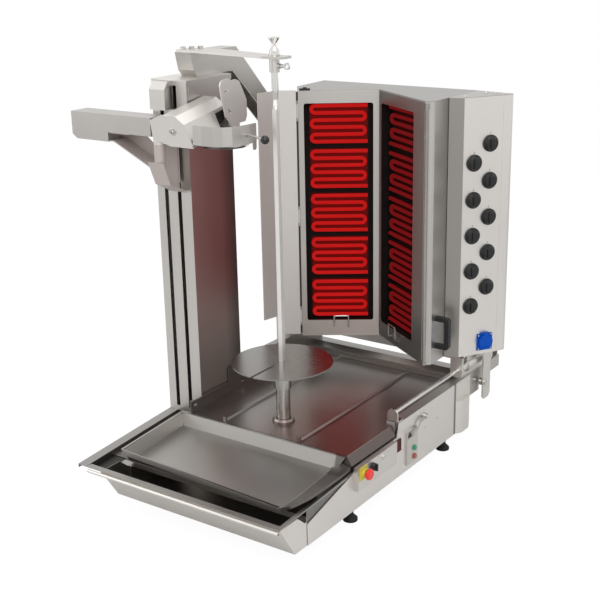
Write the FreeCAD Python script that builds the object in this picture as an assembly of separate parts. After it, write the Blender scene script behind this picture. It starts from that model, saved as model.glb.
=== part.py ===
import FreeCAD, Part
import math
import os

# Vertical rotisserie broiler with an automatic cutting head.
# Millimetres. X = right, Y = back, Z = up. Y 0 is the front rim, Z 0 the bench.

os.makedirs("parts", exist_ok=True)
V = FreeCAD.Vector

# ---- driving dimensions -------------------------------------------------
GAP = 0.3            # clearance between bodies that move apart
SHEET = 2.0          # stainless sheet
RIM_X = 335.0        # half width of the base
SIDE_X = RIM_X - SHEET
RIM_Z0 = 145.0       # rim height at the front edge
RIM_Z1 = 172.0       # rim height where the slope ends
RIM_Y1 = 380.0
CHASSIS_Z = 48.0     # underside of the chassis
CHASSIS_Y0 = 115.0
CHASSIS_Y1 = 993.0
TOP_Z = 210.0        # top of the rear side walls
TOP_Y = 566.0
BEAM_Y1 = 1200.0
BEAM_Z0 = 172.0      # underside of the rear beams

SPIT_X = 45.0        # spit axis
SPIT_Y = 425.0
DECK_Z = 203.0       # tub floor
DECK_X0 = -210.0
DECK_X1 = 317.0
DECK_Y0 = 326.0
DECK_Y1 = 1000.0
WALL_LOW_Z = 238.0
WALL_HIGH_Z = 283.0
WALL_STEP_Y = 500.0

PAN_X0 = -236.0
PAN_Y0 = 70.0
PAN_Z0 = 184.0

COL_X0 = -RIM_X
COL_X1 = -213.0
COL_Y0 = 380.0
COL_Y1 = 568.0
COL_Z1 = 1129.0
ARM_RISE = 74.0      # top plate above the column
PLATE_T = 6.0
PLATE_TOP = COL_Z1 + ARM_RISE
HEAD_DROP = 193.0    # cutter head datum below the top plate
HEAD_Z = PLATE_TOP - HEAD_DROP
SLOTS_X = (-302.0, -255.5)
SLOT_W = 13.0

HEAT_Z0 = 299.0      # heater cabinet underside
HEAT_Z1 = 1056.0
APEX = V(SPIT_X, 937.0, 0)
HALF_V = 33.0        # panel angle from the X axis, degrees
EL_PITCH = 135.3
EL_TOP_Z = 957.5
EL_PASS = 21.3        # pitch of the passes in one element
EL_ROWS = 5

BAR_X = 322.0
BAR_Z = 240.0
BAR_R = 6.0

PIVOT = V(-247.0, 300.0, 0)
BLADE = V(-72.0, 360.0, 0)
BLADE_DROP = 34.5
BLADE_Z = HEAD_Z - BLADE_DROP


# ---- helpers ------------------------------------------------------------
def box(x0, y0, z0, x1, y1, z1):
    return Part.makeBox(x1 - x0, y1 - y0, z1 - z0, V(x0, y0, z0))


def _face(points):
    return Part.Face(Part.makePolygon(points + [points[0]]))


def prism_z(pts, z0, z1):
    return _face([V(x, y, z0) for x, y in pts]).extrude(V(0, 0, z1 - z0))


def prism_x(pts, x0, x1):
    return _face([V(x0, y, z) for y, z in pts]).extrude(V(x1 - x0, 0, 0))


def prism_y(pts, y0, y1):
    return _face([V(x, y0, z) for x, z in pts]).extrude(V(0, y1 - y0, 0))


def cyl(x, y, z, r, length, axis=V(0, 0, 1)):
    return Part.makeCylinder(r, length, V(x, y, z), axis)


def tube(x, y, z, r, bore, length, axis=V(0, 0, 1)):
    return cyl(x, y, z, r, length, axis).cut(cyl(x, y, z, bore, length, axis))


def fuse(shapes):
    out = shapes[0]
    if len(shapes) > 1:
        out = shapes[0].multiFuse(shapes[1:])
    return out.removeSplitter()


def offset_path(pts, d, closed=False):
    """Points moved d to the left of the path, mitred."""
    out = []
    n = len(pts)
    for i in range(n):
        a = pts[i - 1] if (i > 0 or closed) else None
        b = pts[i]
        c = pts[(i + 1) % n] if (i < n - 1 or closed) else None
        dirs = []
        for p, q in ((a, b), (b, c)):
            if p is None or q is None:
                continue
            ux, uy = q[0] - p[0], q[1] - p[1]
            s = math.hypot(ux, uy)
            dirs.append((ux / s, uy / s))
        if len(dirs) == 1:
            dirs = dirs * 2
        n0 = (-dirs[0][1], dirs[0][0])
        n1 = (-dirs[1][1], dirs[1][0])
        k = 1 + n0[0] * n1[0] + n0[1] * n1[1]
        out.append((b[0] + d * (n0[0] + n1[0]) / k, b[1] + d * (n0[1] + n1[1]) / k))
    return out


def strip(path, thick):
    """Closed outline of a folded sheet that follows an open path."""
    left = offset_path(path, thick / 2)
    right = offset_path(path, -thick / 2)
    return left + right[::-1]


def ring_prism(pts, wall, z0, z1):
    """Hollow prism; pts run counter-clockwise."""
    return prism_z(pts, z0, z1).cut(prism_z(offset_path(pts, wall, True), z0 - 1, z1 + 1))


def revolve_z(profile, x, y):
    """Solid of revolution about the vertical through x, y; profile is (r, z)."""
    pts = [V(r, 0, z) for r, z in profile]
    solid = _face(pts).revolve(V(0, 0, 0), V(0, 0, 1), 360)
    solid.translate(V(x, y, 0))
    return solid


def aim(shape, direction, at):
    """Turn a shape built along +Z to a direction and move it to a point."""
    out = shape.copy()
    rot = FreeCAD.Rotation(V(0, 0, 1), direction)
    out.Placement = FreeCAD.Placement(at, rot).multiply(out.Placement)
    return out


def panel_place(shape, side):
    """Panel coordinates: local x from the apex, local -y faces the meat."""
    out = shape.copy()
    turn = -HALF_V if side > 0 else HALF_V
    out.rotate(V(0, 0, 0), V(0, 0, 1), turn)
    out.translate(APEX)
    return out


def panel_box(side, u0, u1, v0, v1, z0, z1):
    x0, x1 = (u0, u1) if side > 0 else (-u1, -u0)
    return panel_place(box(x0, -v1, z0, x1, -v0, z1), side)


def panel_point(side, u, v, z):
    turn = math.radians(-HALF_V if side > 0 else HALF_V)
    x, y = u * side, -v
    return V(
        APEX.x + x * math.cos(turn) - y * math.sin(turn),
        APEX.y + x * math.sin(turn) + y * math.cos(turn),
        z,
    )


def panel_normal(side):
    a = math.radians(HALF_V)
    return V(-side * math.sin(a), -math.cos(a), 0)


def rim_z(y):
    return RIM_Z0 + (RIM_Z1 - RIM_Z0) * min(max(y / RIM_Y1, 0), 1)


RIM_JOIN_Y = 331.0


def rim_right(y):
    """Top of the right rim strip, which runs lower than the left one."""
    return RIM_Z0 + 15.5 * min(y / RIM_JOIN_Y, 1)


def pan_z(y):
    return PAN_Z0 + (DECK_Z - PAN_Z0) * (y - PAN_Y0) / (DECK_Y0 - 2 - PAN_Y0)


def save(node, shape):
    solids = shape.Solids
    assert solids, node
    assert shape.isValid(), node
    out = solids[0] if len(solids) == 1 else Part.makeCompound(solids)
    out.exportStep("parts/" + node + ".step")


def hex_bolt(x, y, z, axis=V(0, 0, 1), r=6.0, head=5.0, shank=0.0):
    pts = []
    for i in range(6):
        a = math.radians(60 * i)
        pts.append((r * math.cos(a), r * math.sin(a)))
    out = prism_z(pts, 0, head)
    if shank:
        out = out.fuse(cyl(0, 0, -shank, r * 0.5, shank))
    return aim(out, axis, V(x, y, z))


# ---- base ---------------------------------------------------------------
DRAWER_HOLE_X = (-251.0, 330.5)
DRAWER_HOLE_Z = (CHASSIS_Z + SHEET, 112.0)
PLATE_Z = 172.0      # left deck that carries the column
BULKHEAD_Y = 345.0


def make_chassis():
    x0, x1 = -RIM_X, SIDE_X
    y0, y1 = CHASSIS_Y0, CHASSIS_Y1
    parts = [box(x0, y0, CHASSIS_Z, x1, y1, CHASSIS_Z + SHEET)]
    side = [(y0, CHASSIS_Z), (y1, CHASSIS_Z), (y1, PLATE_Z), (RIM_Y1, PLATE_Z - SHEET)]
    side.append((y0, rim_z(y0) - SHEET))
    parts.append(prism_x(side, x0, x0 + SHEET))
    front = box(x0, y0, CHASSIS_Z, x1, y0 + SHEET, 128.0)
    front = front.cut(
        box(DRAWER_HOLE_X[0], y0 - 1, DRAWER_HOLE_Z[0], DRAWER_HOLE_X[1], y0 + 5, DRAWER_HOLE_Z[1])
    )
    parts.append(front)
    parts.append(box(x0, y1 - SHEET, CHASSIS_Z, x1, y1, PLATE_Z - SHEET))
    parts.append(box(-302.0, y1 - SHEET, PLATE_Z - SHEET, 302.0, y1, 198.0))
    parts.append(box(x0, BULKHEAD_Y, CHASSIS_Z, x1, BULKHEAD_Y + SHEET, 150.0))
    for x in (-150.0, 200.0):
        parts.append(box(x, BULKHEAD_Y, 150.0, x + 40.0, BULKHEAD_Y + SHEET, DECK_Z - SHEET))
    out = fuse(parts)
    for x in (-150.0, -60.0, 30.0, 120.0):
        for z in (90.0, 106.0, 122.0):
            out = out.cut(box(x, y1 - 5, z, x + 60, y1 + 1, z + 6))
    out = out.cut(cyl(-260.0, y1 - 5, 90.0, 12.2, 10, V(0, 1, 0)))
    for sx in (-305.0, 305.0):
        for sy in FOOT_Y:
            out = out.cut(cyl(sx, sy, CHASSIS_Z - 1, 4.05, 5))
    return out


FOOT_Y = (359.0, 880.0)


def make_feet():
    prof = [(0, 0), (20, 0), (20, 7), (9, 18), (9, CHASSIS_Z), (4.0, CHASSIS_Z)]
    prof += [(4.0, CHASSIS_Z + 10), (0, CHASSIS_Z + 10)]
    feet = []
    for sx in (-305.0, 305.0):
        for sy in FOOT_Y:
            feet.append(revolve_z(prof, sx, sy))
    return Part.makeCompound(feet)


def make_side_panel():
    pts = [(CHASSIS_Y0 + GAP, CHASSIS_Z), (CHASSIS_Y1, CHASSIS_Z), (CHASSIS_Y1, TOP_Z)]
    pts += [(TOP_Y, TOP_Z), (TOP_Y - 14, RIM_Z1 - SHEET), (RIM_Y1, RIM_Z1 - SHEET)]
    pts += [(RIM_JOIN_Y, rim_right(RIM_JOIN_Y) - SHEET), (301.0, 150.5), (118.0, 108.0)]
    pts += [(CHASSIS_Y0 + GAP, 108.0)]
    panel = prism_x(pts, SIDE_X, RIM_X)
    for z in BTN_Z:
        panel = panel.cut(cyl(SIDE_X - 1, BTN_Y, z, BTN_R + 0.35, 10, V(1, 0, 0)))
    seam = box(RIM_X - 0.6, 907.0, CHASSIS_Z - 1, RIM_X + 1, 908.6, TOP_Z + 1)
    hem = box(SIDE_X - 10, BULKHEAD_Y + SHEET, CHASSIS_Z + SHEET, SIDE_X, CHASSIS_Y1 - 10, CHASSIS_Z + 4)
    sheet = fuse([panel.cut(seam), hem])
    return Part.makeCompound([sheet, make_corner_post(), make_latch()])


POST_OUT = 12.0
CORNER_Y = (903.0, 975.0)
CORNER_TOP = 152.0


def make_corner_post():
    """Rounded cover over the rear corner of the side."""
    y0, y1 = CORNER_Y
    x0, x1 = RIM_X, RIM_X + POST_OUT
    arc = Part.Arc(V(x0, y0, CHASSIS_Z), V(x1 - 1.5, y0 + 16, CHASSIS_Z), V(x1, y0 + 34, CHASSIS_Z))
    edges = [arc.toShape()]
    corners = [V(x1, y0 + 34, CHASSIS_Z), V(x1, y1 - 8, CHASSIS_Z), V(x1 - 5, y1, CHASSIS_Z)]
    corners += [V(x0, y1, CHASSIS_Z), V(x0, y0, CHASSIS_Z)]
    for p, q in zip(corners, corners[1:]):
        edges.append(Part.makeLine(p, q))
    face = Part.Face(Part.Wire(edges))
    return face.extrude(V(0, 0, CORNER_TOP - CHASSIS_Z))


def make_rim():
    """Sloping rim flange round the front tray: left, front and right strips."""
    z0 = RIM_Z0 - SHEET
    left = prism_x(
        [(0, z0), (RIM_Y1, RIM_Z1 - SHEET), (RIM_Y1, RIM_Z1), (0, RIM_Z0)], -RIM_X, -305.0
    )
    skirt_l = prism_x(
        [(0, z0 - 8), (CHASSIS_Y0 - GAP, rim_z(CHASSIS_Y0) - 10), (CHASSIS_Y0 - GAP, rim_z(CHASSIS_Y0))]
        + [(0, RIM_Z0)],
        -RIM_X, -RIM_X + SHEET,
    )
    inner_l = prism_x(
        [(16, z0 - 12), (RIM_Y1, RIM_Z1 - 14), (RIM_Y1, RIM_Z1), (16, rim_z(16))],
        -307.0, -305.0,
    )
    ye = RIM_JOIN_Y
    top = [(0, RIM_Z0), (ye, rim_right(ye)), (RIM_Y1, RIM_Z1), (TOP_Y - 14, RIM_Z1)]
    right = prism_x(top + [(y, z - SHEET) for y, z in top[::-1]], 324.0, RIM_X)
    skirt_r = prism_x(
        [(0, z0), (0, RIM_Z0), (300.0, rim_right(300.0)), (300.0, rim_right(300.0) - 7)], SIDE_X, RIM_X
    )
    rest = box(320.0, 180.0, rim_right(180.0) - SHEET, 322.0, 240.0, 165.2)
    shelf = box(320.0, 180.0, rim_right(180.0) - SHEET, 326.0, 240.0, rim_right(180.0) - 0.5)
    front = box(-RIM_X, 0, z0, RIM_X, 18, RIM_Z0)
    hem = box(-250.0, 16, z0 - 6, 324.0, 18, z0)
    slot_bar = box(-307.0, 16, z0, -262.0, 18, z0 + 2)
    return fuse([left, skirt_l, inner_l, right, skirt_r, front, hem, slot_bar, rest, shelf])


def make_left_channel():
    """Sheet channel between the left rim and the carving pan, and the column's deck."""
    slope = [(100.0, 140.0), (RIM_Y1, 158.0)]
    floor = prism_x(strip(slope, 1.5), -305.0, -239.0)
    lid = 0.3 + 1.6
    wall = prism_x(
        [(118.0, 130.0), (324.0, 130.0), (324.0, pan_z(324.0) - lid), (100.0, pan_z(100.0) - lid)]
        + [(100.0, 136.0)], -240.5, -239.0,
    )
    deck = box(-SIDE_X, RIM_Y1, PLATE_Z - SHEET, DECK_X0 - 4, CHASSIS_Y1 - SHEET, PLATE_Z)
    drop = box(-305.0, RIM_Y1 - SHEET, 156.5, -239.0, RIM_Y1, PLATE_Z)
    return fuse([floor, wall, deck, drop])


def make_deck():
    x0, x1 = DECK_X0, DECK_X1
    floor = box(x0, DECK_Y0, DECK_Z - SHEET, x1, DECK_Y1 - 2, DECK_Z)
    wall = prism_x(
        [(DECK_Y0, DECK_Z - SHEET), (DECK_Y1 - 2, DECK_Z - SHEET), (DECK_Y1 - 2, WALL_HIGH_Z)]
        + [(WALL_STEP_Y, WALL_HIGH_Z), (WALL_STEP_Y, WALL_LOW_Z), (DECK_Y0, WALL_LOW_Z)],
        x0, x0 + SHEET,
    )
    hem = box(x0, DECK_Y0, WALL_LOW_Z - 1, x0 + 8, WALL_STEP_Y, WALL_LOW_Z + 1)
    ledge = box(x0 - 22, COL_Y1 + 6, WALL_HIGH_Z - SHEET, x0 + SHEET, 975.0, WALL_HIGH_Z)
    prof = [(x1 - 1, DECK_Z - 1), (x1 + 14, 176.0)]
    skirt = prism_y(strip(prof, 1.6), DECK_Y0, TOP_Y - 16)
    out = fuse([floor, wall, hem, ledge, skirt])
    out = out.cut(cyl(SPIT_X, SPIT_Y, DECK_Z - 5, 21.0, 10))
    for sy in (340.0, 560.0, 780.0, 960.0):
        out = out.cut(box(x0 - 1, sy, WALL_LOW_Z - 20, x0 + 5, sy + 12, WALL_LOW_Z - 14))
    return out


RIBS_X = (-94.0, 158.0)


def make_floor_ribs():
    ribs = []
    for x in RIBS_X:
        prof = [(x - 7, DECK_Z), (x - 4, DECK_Z + 6), (x + 4, DECK_Z + 6), (x + 7, DECK_Z)]
        ribs.append(prism_y(prof, 340.0, 925.0))
        ribs.append(box(x - 5, 334.0, DECK_Z, x + 5, 340.0, DECK_Z + 11))
    return fuse(ribs)


def make_rear_beam():
    path = [(938.0, DECK_Z + 1), (938.0, 220.0), (950.0, 234.0), (984.0, 234.0)]
    path += [(999.0, 218.0), (999.0, DECK_Z - 4)]
    beam = prism_x(strip(path, 2.0), DECK_X0 + SHEET, 300.0)
    step = [(926.0, DECK_Z + 1), (926.0, 212.0), (937.0, 212.0)]
    ledge = prism_x(strip(step, 2.0), DECK_X0 + SHEET, 300.0)
    ends = []
    for x in (DECK_X0 + SHEET, 298.0):
        ends.append(prism_x([(938.0, DECK_Z - 1)] + path[1:-1] + [(999.0, DECK_Z - 1)], x, x + 2.0))
    return fuse([beam, ledge] + ends)


def c_beam(x_web, x_lip, y0, y1):
    path = [(x_lip, BEAM_Z0 + 1), (x_web, BEAM_Z0 + 1), (x_web, TOP_Z - 1), (x_lip, TOP_Z - 1)]
    return prism_y(strip(path, 2.0), y0, y1)


def make_beam_right():
    beam = c_beam(331.8, 304.0, TOP_Y + 2, BEAM_Y1)
    cap = box(304.0, BEAM_Y1 - 2, BEAM_Z0 + 2, 330.8, BEAM_Y1, TOP_Z - 2)
    return fuse([beam, cap])


def make_beam_left():
    beam = c_beam(-331.8, -304.0, COL_Y1 + 6, BEAM_Y1)
    cap = box(-330.8, BEAM_Y1 - 2, BEAM_Z0 + 2, -304.0, BEAM_Y1, TOP_Z - 2)
    return fuse([beam, cap])


def make_rear_tie():
    y0, y1 = BEAM_Y1 - 32, BEAM_Y1 - 4
    tie = box(-330.8, y0, BEAM_Z0 + 2, 330.8, y1, TOP_Z - 2)
    return tie.cut(box(-340.0, y0 + 2, BEAM_Z0 + 4, 340.0, y1 - 2, TOP_Z - 4))


def make_gusset():
    """Box under the right beam where it leaves the chassis."""
    outer = box(296.0, CHASSIS_Y1 + GAP, 138.0, 333.0, CHASSIS_Y1 + 65, BEAM_Z0)
    return outer.cut(box(290.0, CHASSIS_Y1 - 5, 140.0, 331.0, CHASSIS_Y1 + 63, BEAM_Z0 - 2))


# ---- carving pan and grease drawer -------------------------------------
PAN_FLOOR = (150.0, 166.0)       # floor height at the front and the back
PAN_FLOOR_X = (-222.0, 284.0)
PAN_FRONT_R = 157.0              # front rim height at its low right end
FLANGE = (
    # y, inner x, inner z, outer x, outer z
    (73.0, 268.0, 154.0, 286.0, 158.0),
    (82.0, 278.0, 154.5, 308.0, 165.0),
    (100.0, 283.0, 155.0, 323.0, 172.0),
    (140.0, 283.0, 156.5, 329.5, 172.0),
    (210.0, 283.0, 160.5, 330.0, 170.5),
    (275.0, 283.0, 165.0, 330.0, 171.0),
    (323.0, 297.0, 182.0, 330.0, 174.5),
)


def make_pan():
    """Carving pan: sloping floor, upright left and back, and a turned-out right flange."""
    t = 1.6
    xl, xr = PAN_X0, DECK_X1
    fl, fr = PAN_FLOOR_X
    yf, yb = PAN_Y0 + 12, DECK_Y0 - 18
    zf, zb = PAN_FLOOR
    y1 = DECK_Y0 - 2
    zl, zt = pan_z(PAN_Y0), pan_z(y1)
    zr = PAN_FRONT_R
    floor = prism_x([(yf - 1, zf - t), (yb + 1, zb - t), (yb + 1, zb), (yf - 1, zf)], fl - 1, fr)
    side = prism_y([(xl, zt + 9), (xl + t, zt + 9), (fl + t, zf - t), (fl, zf - t)], PAN_Y0, y1)
    side = side.common(
        prism_x([(PAN_Y0, zl), (yf, zf - t), (yb, zb - t), (y1, zt)], xl - 9, fl + 9)
    )
    back = prism_x([(y1 - t, zt), (y1, zt), (yb + t, zb - t), (yb, zb - t)], xl, xr)
    back = back.common(prism_y([(xl, zt), (fl, zb - t), (fr + 10, zb - t), (xr, zt)], yb - 9, y1 + 9))
    front = prism_x([(PAN_Y0, zl), (PAN_Y0 + t, zl), (yf + t, zf - t), (yf, zf - t)], xl, fr)
    front = front.common(
        prism_y([(xl, zl), (fl, zf - t), (fr, zf - t), (fr, zr)], PAN_Y0 - 9, yf + 9)
    )
    lip = prism_y([(xl, zl), (xl, zl - 16), (fr, zr - 8), (fr, zr)], PAN_Y0, PAN_Y0 + t)
    rim_l = prism_x([(PAN_Y0, zl - t), (y1, zt - t), (y1, zt), (PAN_Y0, zl)], xl - 5, xl + t)
    rim_b = box(xl, y1 - 6, zt - t, xr, y1, zt)
    sections = []
    for y, xi, zi, xo, zo in FLANGE:
        pts = [(xi, zi), (xo, zo), (xo, zo - 8), (xo - t, zo - 8), (xo - t, zo - t), (xi, zi - t)]
        sections.append(wire([V(x, y, z) for x, z in pts]))
    flange = Part.makeLoft(sections, True, True)
    low = [(yf, zf - 1), (yb, zb - 1), (yb, 171.0), (275.0, 164.2), (210.0, 159.7)]
    step = prism_x(low + [(140.0, 155.7), (100.0, 154.2), (yf, 153.8)], fr - 1, fr)
    return fuse([floor, side, back, front, lip, rim_l, rim_b, flange, step])


def wire(points):
    return Part.makePolygon(points + [points[0]])


def make_drawer():
    """Grease drawer: slanted front with end caps, and a trough that runs under the pan."""
    t = 1.5
    lo = CHASSIS_Z + SHEET + GAP
    head = RIM_Z0 - SHEET - GAP
    xa, xb = -254.0, RIM_X
    front = [(1.0, head), (61.0, lo), (61.0 + t, lo), (61.0 + t, lo + 2.2), (1.0 + 2.6, head)]
    parts = [prism_x(front, xa, xb)]
    end = [(1.0, head), (61.0, lo), (112.0, lo), (112.0, 115.0), (106.0, 115.0), (74.0, head)]
    parts.append(prism_x(end, xb - t, xb))
    parts.append(prism_x(end, xa, xa + t))
    parts.append(box(xa, 61.0, lo, xb, 112.0, lo + t))
    ta, tb = DRAWER_HOLE_X[0] + 2, DRAWER_HOLE_X[1] - 2
    parts.append(box(ta, 111.0, lo, tb, 335.0, lo + t))
    for x in (ta, tb - t):
        parts.append(box(x, 110.0, lo, x + t, 335.0, 108.0))
    parts.append(box(xa, 110.5, lo, ta + t, 112.0, 112.0))
    parts.append(box(tb - t, 110.5, lo, xb, 112.0, 112.0))
    parts.append(box(ta, 335.0 - t, lo, tb, 335.0, 108.0))
    return fuse(parts)


def make_drawer_lip():
    lip = cyl(-295.0, -5.5, 137.0, 4.5, 630.0, V(1, 0, 0))
    lip = lip.cut(cyl(-296.0, -5.5, 137.0, 3.0, 640.0, V(1, 0, 0)))
    return lip


def make_drawer_lip_web():
    return prism_x([(-1.6, 136.0), (6.2, 136.0), (4.0, 139.0), (-1.6, 138.4)], -254.0, RIM_X)


# ---- spit ---------------------------------------------------------------
def make_floor_collar():
    prof = [(21.0, DECK_Z), (31.0, DECK_Z), (31.0, DECK_Z + 5), (27.0, DECK_Z + 10), (21.0, DECK_Z + 10)]
    return revolve_z(prof, SPIT_X, SPIT_Y)


def make_gearbox():
    body = box(SPIT_X - 45, SPIT_Y - 40, 118.0, SPIT_X + 45, SPIT_Y + 40, 176.0)
    nose = cyl(SPIT_X, SPIT_Y, 176.0, 30.0, DECK_Z - SHEET - 176.0)
    motor = cyl(SPIT_X + 45, SPIT_Y, 147.0, 27.0, 110.0, V(1, 0, 0))
    foot = box(SPIT_X - 30, SPIT_Y - 34, CHASSIS_Z + SHEET, SPIT_X + 30, SPIT_Y + 34, 118.0)
    foot = foot.cut(box(SPIT_X - 26, SPIT_Y - 40, 53.0, SPIT_X + 26, SPIT_Y + 40, 115.0))
    out = fuse([body, nose, motor, foot])
    return out.cut(cyl(SPIT_X, SPIT_Y, 140.0, 15.05, 100.0))


def make_drive_tube():
    prof = [(0, 142.0), (15.0, 142.0), (15.0, DECK_Z - 1), (19.5, DECK_Z + 1), (19.5, 300.0)]
    prof += [(23.5, 302.0), (23.5, 374.0), (0, 374.0)]
    body = revolve_z(prof, SPIT_X, SPIT_Y)
    half = BAR_HALF + 0.05
    body = body.cut(box(SPIT_X - half, SPIT_Y - half, 320.0, SPIT_X + half, SPIT_Y + half, 380.0))
    body = body.cut(box(SPIT_X - 3, SPIT_Y - 30, 222.0, SPIT_X + 3, SPIT_Y - 15, 262.0))
    keys = []
    for z in (330.0, 352.0):
        keys.append(cyl(SPIT_X, SPIT_Y - 22, z, 5.0, 6.0, V(0, -1, 0)))
    return fuse([body] + keys)


DISC_Z = 376.0
DISC_R = 139.5


def make_disc():
    disc = cyl(SPIT_X, SPIT_Y, DISC_Z, DISC_R, 3.0)
    hub = cyl(SPIT_X, SPIT_Y, 374.0, 23.5, 2.0)
    out = fuse([disc, hub])
    half = BAR_HALF + 0.05
    hole = box(SPIT_X - half, SPIT_Y - half, 370.0, SPIT_X + half, SPIT_Y + half, 385.0)
    out = out.cut(hole)
    return out.cut(box(SPIT_X - 4, SPIT_Y - DISC_R - 1, 374.0, SPIT_X + 4, SPIT_Y - 30, 385.0))


BAR_HALF = 6.5
BAR_TOP = PLATE_TOP - 105.0


def make_spit_bar():
    b = BAR_HALF
    bar = box(SPIT_X - b, SPIT_Y - b, 320.3, SPIT_X + b, SPIT_Y + b, BAR_TOP - 30)
    tip = Part.makeCone(b * 1.2, 5.0, 24.0, V(SPIT_X, SPIT_Y, BAR_TOP - 30))
    pin = cyl(SPIT_X, SPIT_Y, BAR_TOP - 6, 5.0, 12.0)
    square = box(SPIT_X - b, SPIT_Y - b, BAR_TOP - 32, SPIT_X + b, SPIT_Y + b, BAR_TOP)
    return fuse([bar, tip.common(square), pin])


# ---- top bearing --------------------------------------------------------
PIN_R = 8.55
THUMB_Z = PLATE_TOP - 25.0


def make_bearing_plate():
    pts = [(-300.0, 446.0), (-190.0, 436.0), (20.0, 400.0), (82.0, 403.0)]
    pts += [(86.0, 412.0), (86.0, 440.0), (82.0, 448.0), (20.0, 452.0), (-190.0, 512.0), (-300.0, 512.0)]
    plate = prism_z(pts, PLATE_TOP - PLATE_T, PLATE_TOP)
    plate = plate.cut(cyl(SPIT_X, SPIT_Y, PLATE_TOP - 10, 12.0, 20))
    for x, y in ARM_BOLTS:
        plate = plate.cut(cyl(x, y, PLATE_TOP - 10, 4.1, 20))
    return plate


ARM_SHEET = 3.0
ARM_X = (-300.0, -245.0)
POST_Y0 = 866.0
POST_TOP = COL_Z1 - 144.0
ARM_BOLTS = ((-288.0, 462.0), (-272.0, 480.0), (-256.0, 498.0))


def make_bearing_bolts():
    bolts = []
    for x, y in ARM_BOLTS:
        under = PLATE_TOP - PLATE_T - ARM_SHEET
        head = hex_bolt(x, y, PLATE_TOP, r=8.0, head=7.0)
        shank = cyl(x, y, under, 4.0, PLATE_TOP - under)
        nut = hex_bolt(x, y, under - 7.0, r=7.0, head=7.0)
        bolts.append(fuse([head, shank, nut]))
    return Part.makeCompound(bolts)


def make_top_arm():
    """Cranked U channel from the column top, back and down to the rear post."""
    x0, x1 = ARM_X
    t = ARM_SHEET
    top = PLATE_TOP - PLATE_T
    foot_z = COL_Z1 + 2.5
    yp = POST_Y0
    outer = [(441.0, top), (452.0, foot_z + 18), (466.0, foot_z), (622.0, foot_z)]
    outer += [(yp, POST_TOP - 85), (yp, POST_TOP - 20), (640.0, top)]
    solid = prism_x(outer, x0, x1)
    inner = [(444.6, top - t), (454.9, foot_z + 19), (466.0, foot_z + t), (466.0, foot_z - 40)]
    inner += [(622.0, foot_z - 32), (yp + 34, POST_TOP - 145), (yp + 34, POST_TOP - 57), (638.6, top - t)]
    out = solid.cut(prism_x(inner, x0 + t, x1 - t))
    foot = box(x0, 466.0, foot_z, x1, 560.0, foot_z + t)
    end = box(x0, yp - t, POST_TOP - 85, x1, yp, POST_TOP - 20)
    out = fuse([out, foot, end])
    for x, y in ARM_BOLTS:
        out = out.cut(cyl(x, y, top - 5, 4.1, 10))
    return out


def make_rear_post():
    post = box(-297.0, POST_Y0, PLATE_Z + 4, -248.0, POST_Y0 + 40, POST_TOP)
    post = post.cut(box(-294.0, POST_Y0 + 3.3, PLATE_Z, -251.0, POST_Y0 + 37, POST_TOP - 3))
    foot = box(-303.0, POST_Y0 - 8, PLATE_Z, -240.0, POST_Y0 + 48, PLATE_Z + 4)
    return fuse([post, foot])


def make_bush():
    low = PLATE_TOP - 41
    under = PLATE_TOP - PLATE_T
    prof = [(PIN_R + 0.05, low), (13.0, low), (13.0, under), (12.0, under)]
    prof += [(12.0, PLATE_TOP), (15.0, PLATE_TOP), (15.0, PLATE_TOP + 3), (PIN_R + 0.05, PLATE_TOP + 3)]
    bush = revolve_z(prof, SPIT_X, SPIT_Y)
    boss = cyl(SPIT_X + 11, SPIT_Y, THUMB_Z, 6.5, 8.0, V(1, 0, 0))
    out = fuse([bush, boss])
    out = out.cut(cyl(SPIT_X, SPIT_Y, low - 12, PIN_R + 0.05, 80.0))
    return out.cut(cyl(SPIT_X + 5, SPIT_Y, THUMB_Z, 3.05, 20.0, V(1, 0, 0)))


def make_lift_pin():
    """Top holder: a rod with a female tip and a funnel-shaped grip."""
    low = BAR_TOP - 4
    seat = PLATE_TOP + 3
    prof = [(5.3, low), (7.0, low), (7.6, low + 18), (PIN_R, low + 22), (PIN_R, seat)]
    prof += [(13.0, seat), (13.0, seat + 10), (6.0, seat + 20), (6.0, seat + 28)]
    prof += [(14.5, seat + 41), (14.5, seat + 44), (0, seat + 44)]
    prof += [(0, low + 16), (5.3, low + 11.5)]
    return revolve_z(prof, SPIT_X, SPIT_Y)


def make_thumb_screw():
    x0 = SPIT_X + PIN_R + 0.35
    shaft = cyl(x0, SPIT_Y, THUMB_Z, 3.0, 22.0, V(1, 0, 0))
    ring = tube(SPIT_X + 38, SPIT_Y - 2.0, THUMB_Z, 9.0, 4.8, 4.0, V(0, 1, 0))
    neck = cyl(SPIT_X + 19.6, SPIT_Y, THUMB_Z, 4.5, 9.6, V(1, 0, 0))
    return fuse([shaft, neck, ring])


# ---- column -------------------------------------------------------------
def make_column():
    z0 = PLATE_Z
    outer = box(COL_X0, COL_Y0, z0, COL_X1, COL_Y1, COL_Z1)
    inner = box(COL_X0 + SHEET, COL_Y0 + SHEET, z0 - 1, COL_X1 - SHEET, COL_Y1 - SHEET, COL_Z1 + 1)
    out = outer.cut(inner)
    for x in SLOTS_X:
        out = out.cut(box(x - SLOT_W / 2, COL_Y0 - 1, z0 + 14, x + SLOT_W / 2, COL_Y0 + 3, COL_Z1 - 12))
    web = box(-280.0, COL_Y0 + SHEET, z0 + 14, -278.0, COL_Y0 + 26, COL_Z1 - 12)
    return fuse([out, web])


def make_column_cap():
    x0, x1 = COL_X0 - 2, COL_X1 + 2
    cap = box(x0, COL_Y0 - 2, COL_Z1, x1, COL_Y1 + 2, COL_Z1 + 2.5)
    skirt = box(COL_X1 + GAP, COL_Y0 - 2, COL_Z1 - 14, x1, COL_Y1 + 2, COL_Z1)
    strap = box(COL_X1 + GAP, COL_Y0 + 6, COL_Z1 - 46, COL_X1 + 4, COL_Y0 + 16, COL_Z1 - 14)
    return fuse([cap, skirt, strap])


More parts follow.
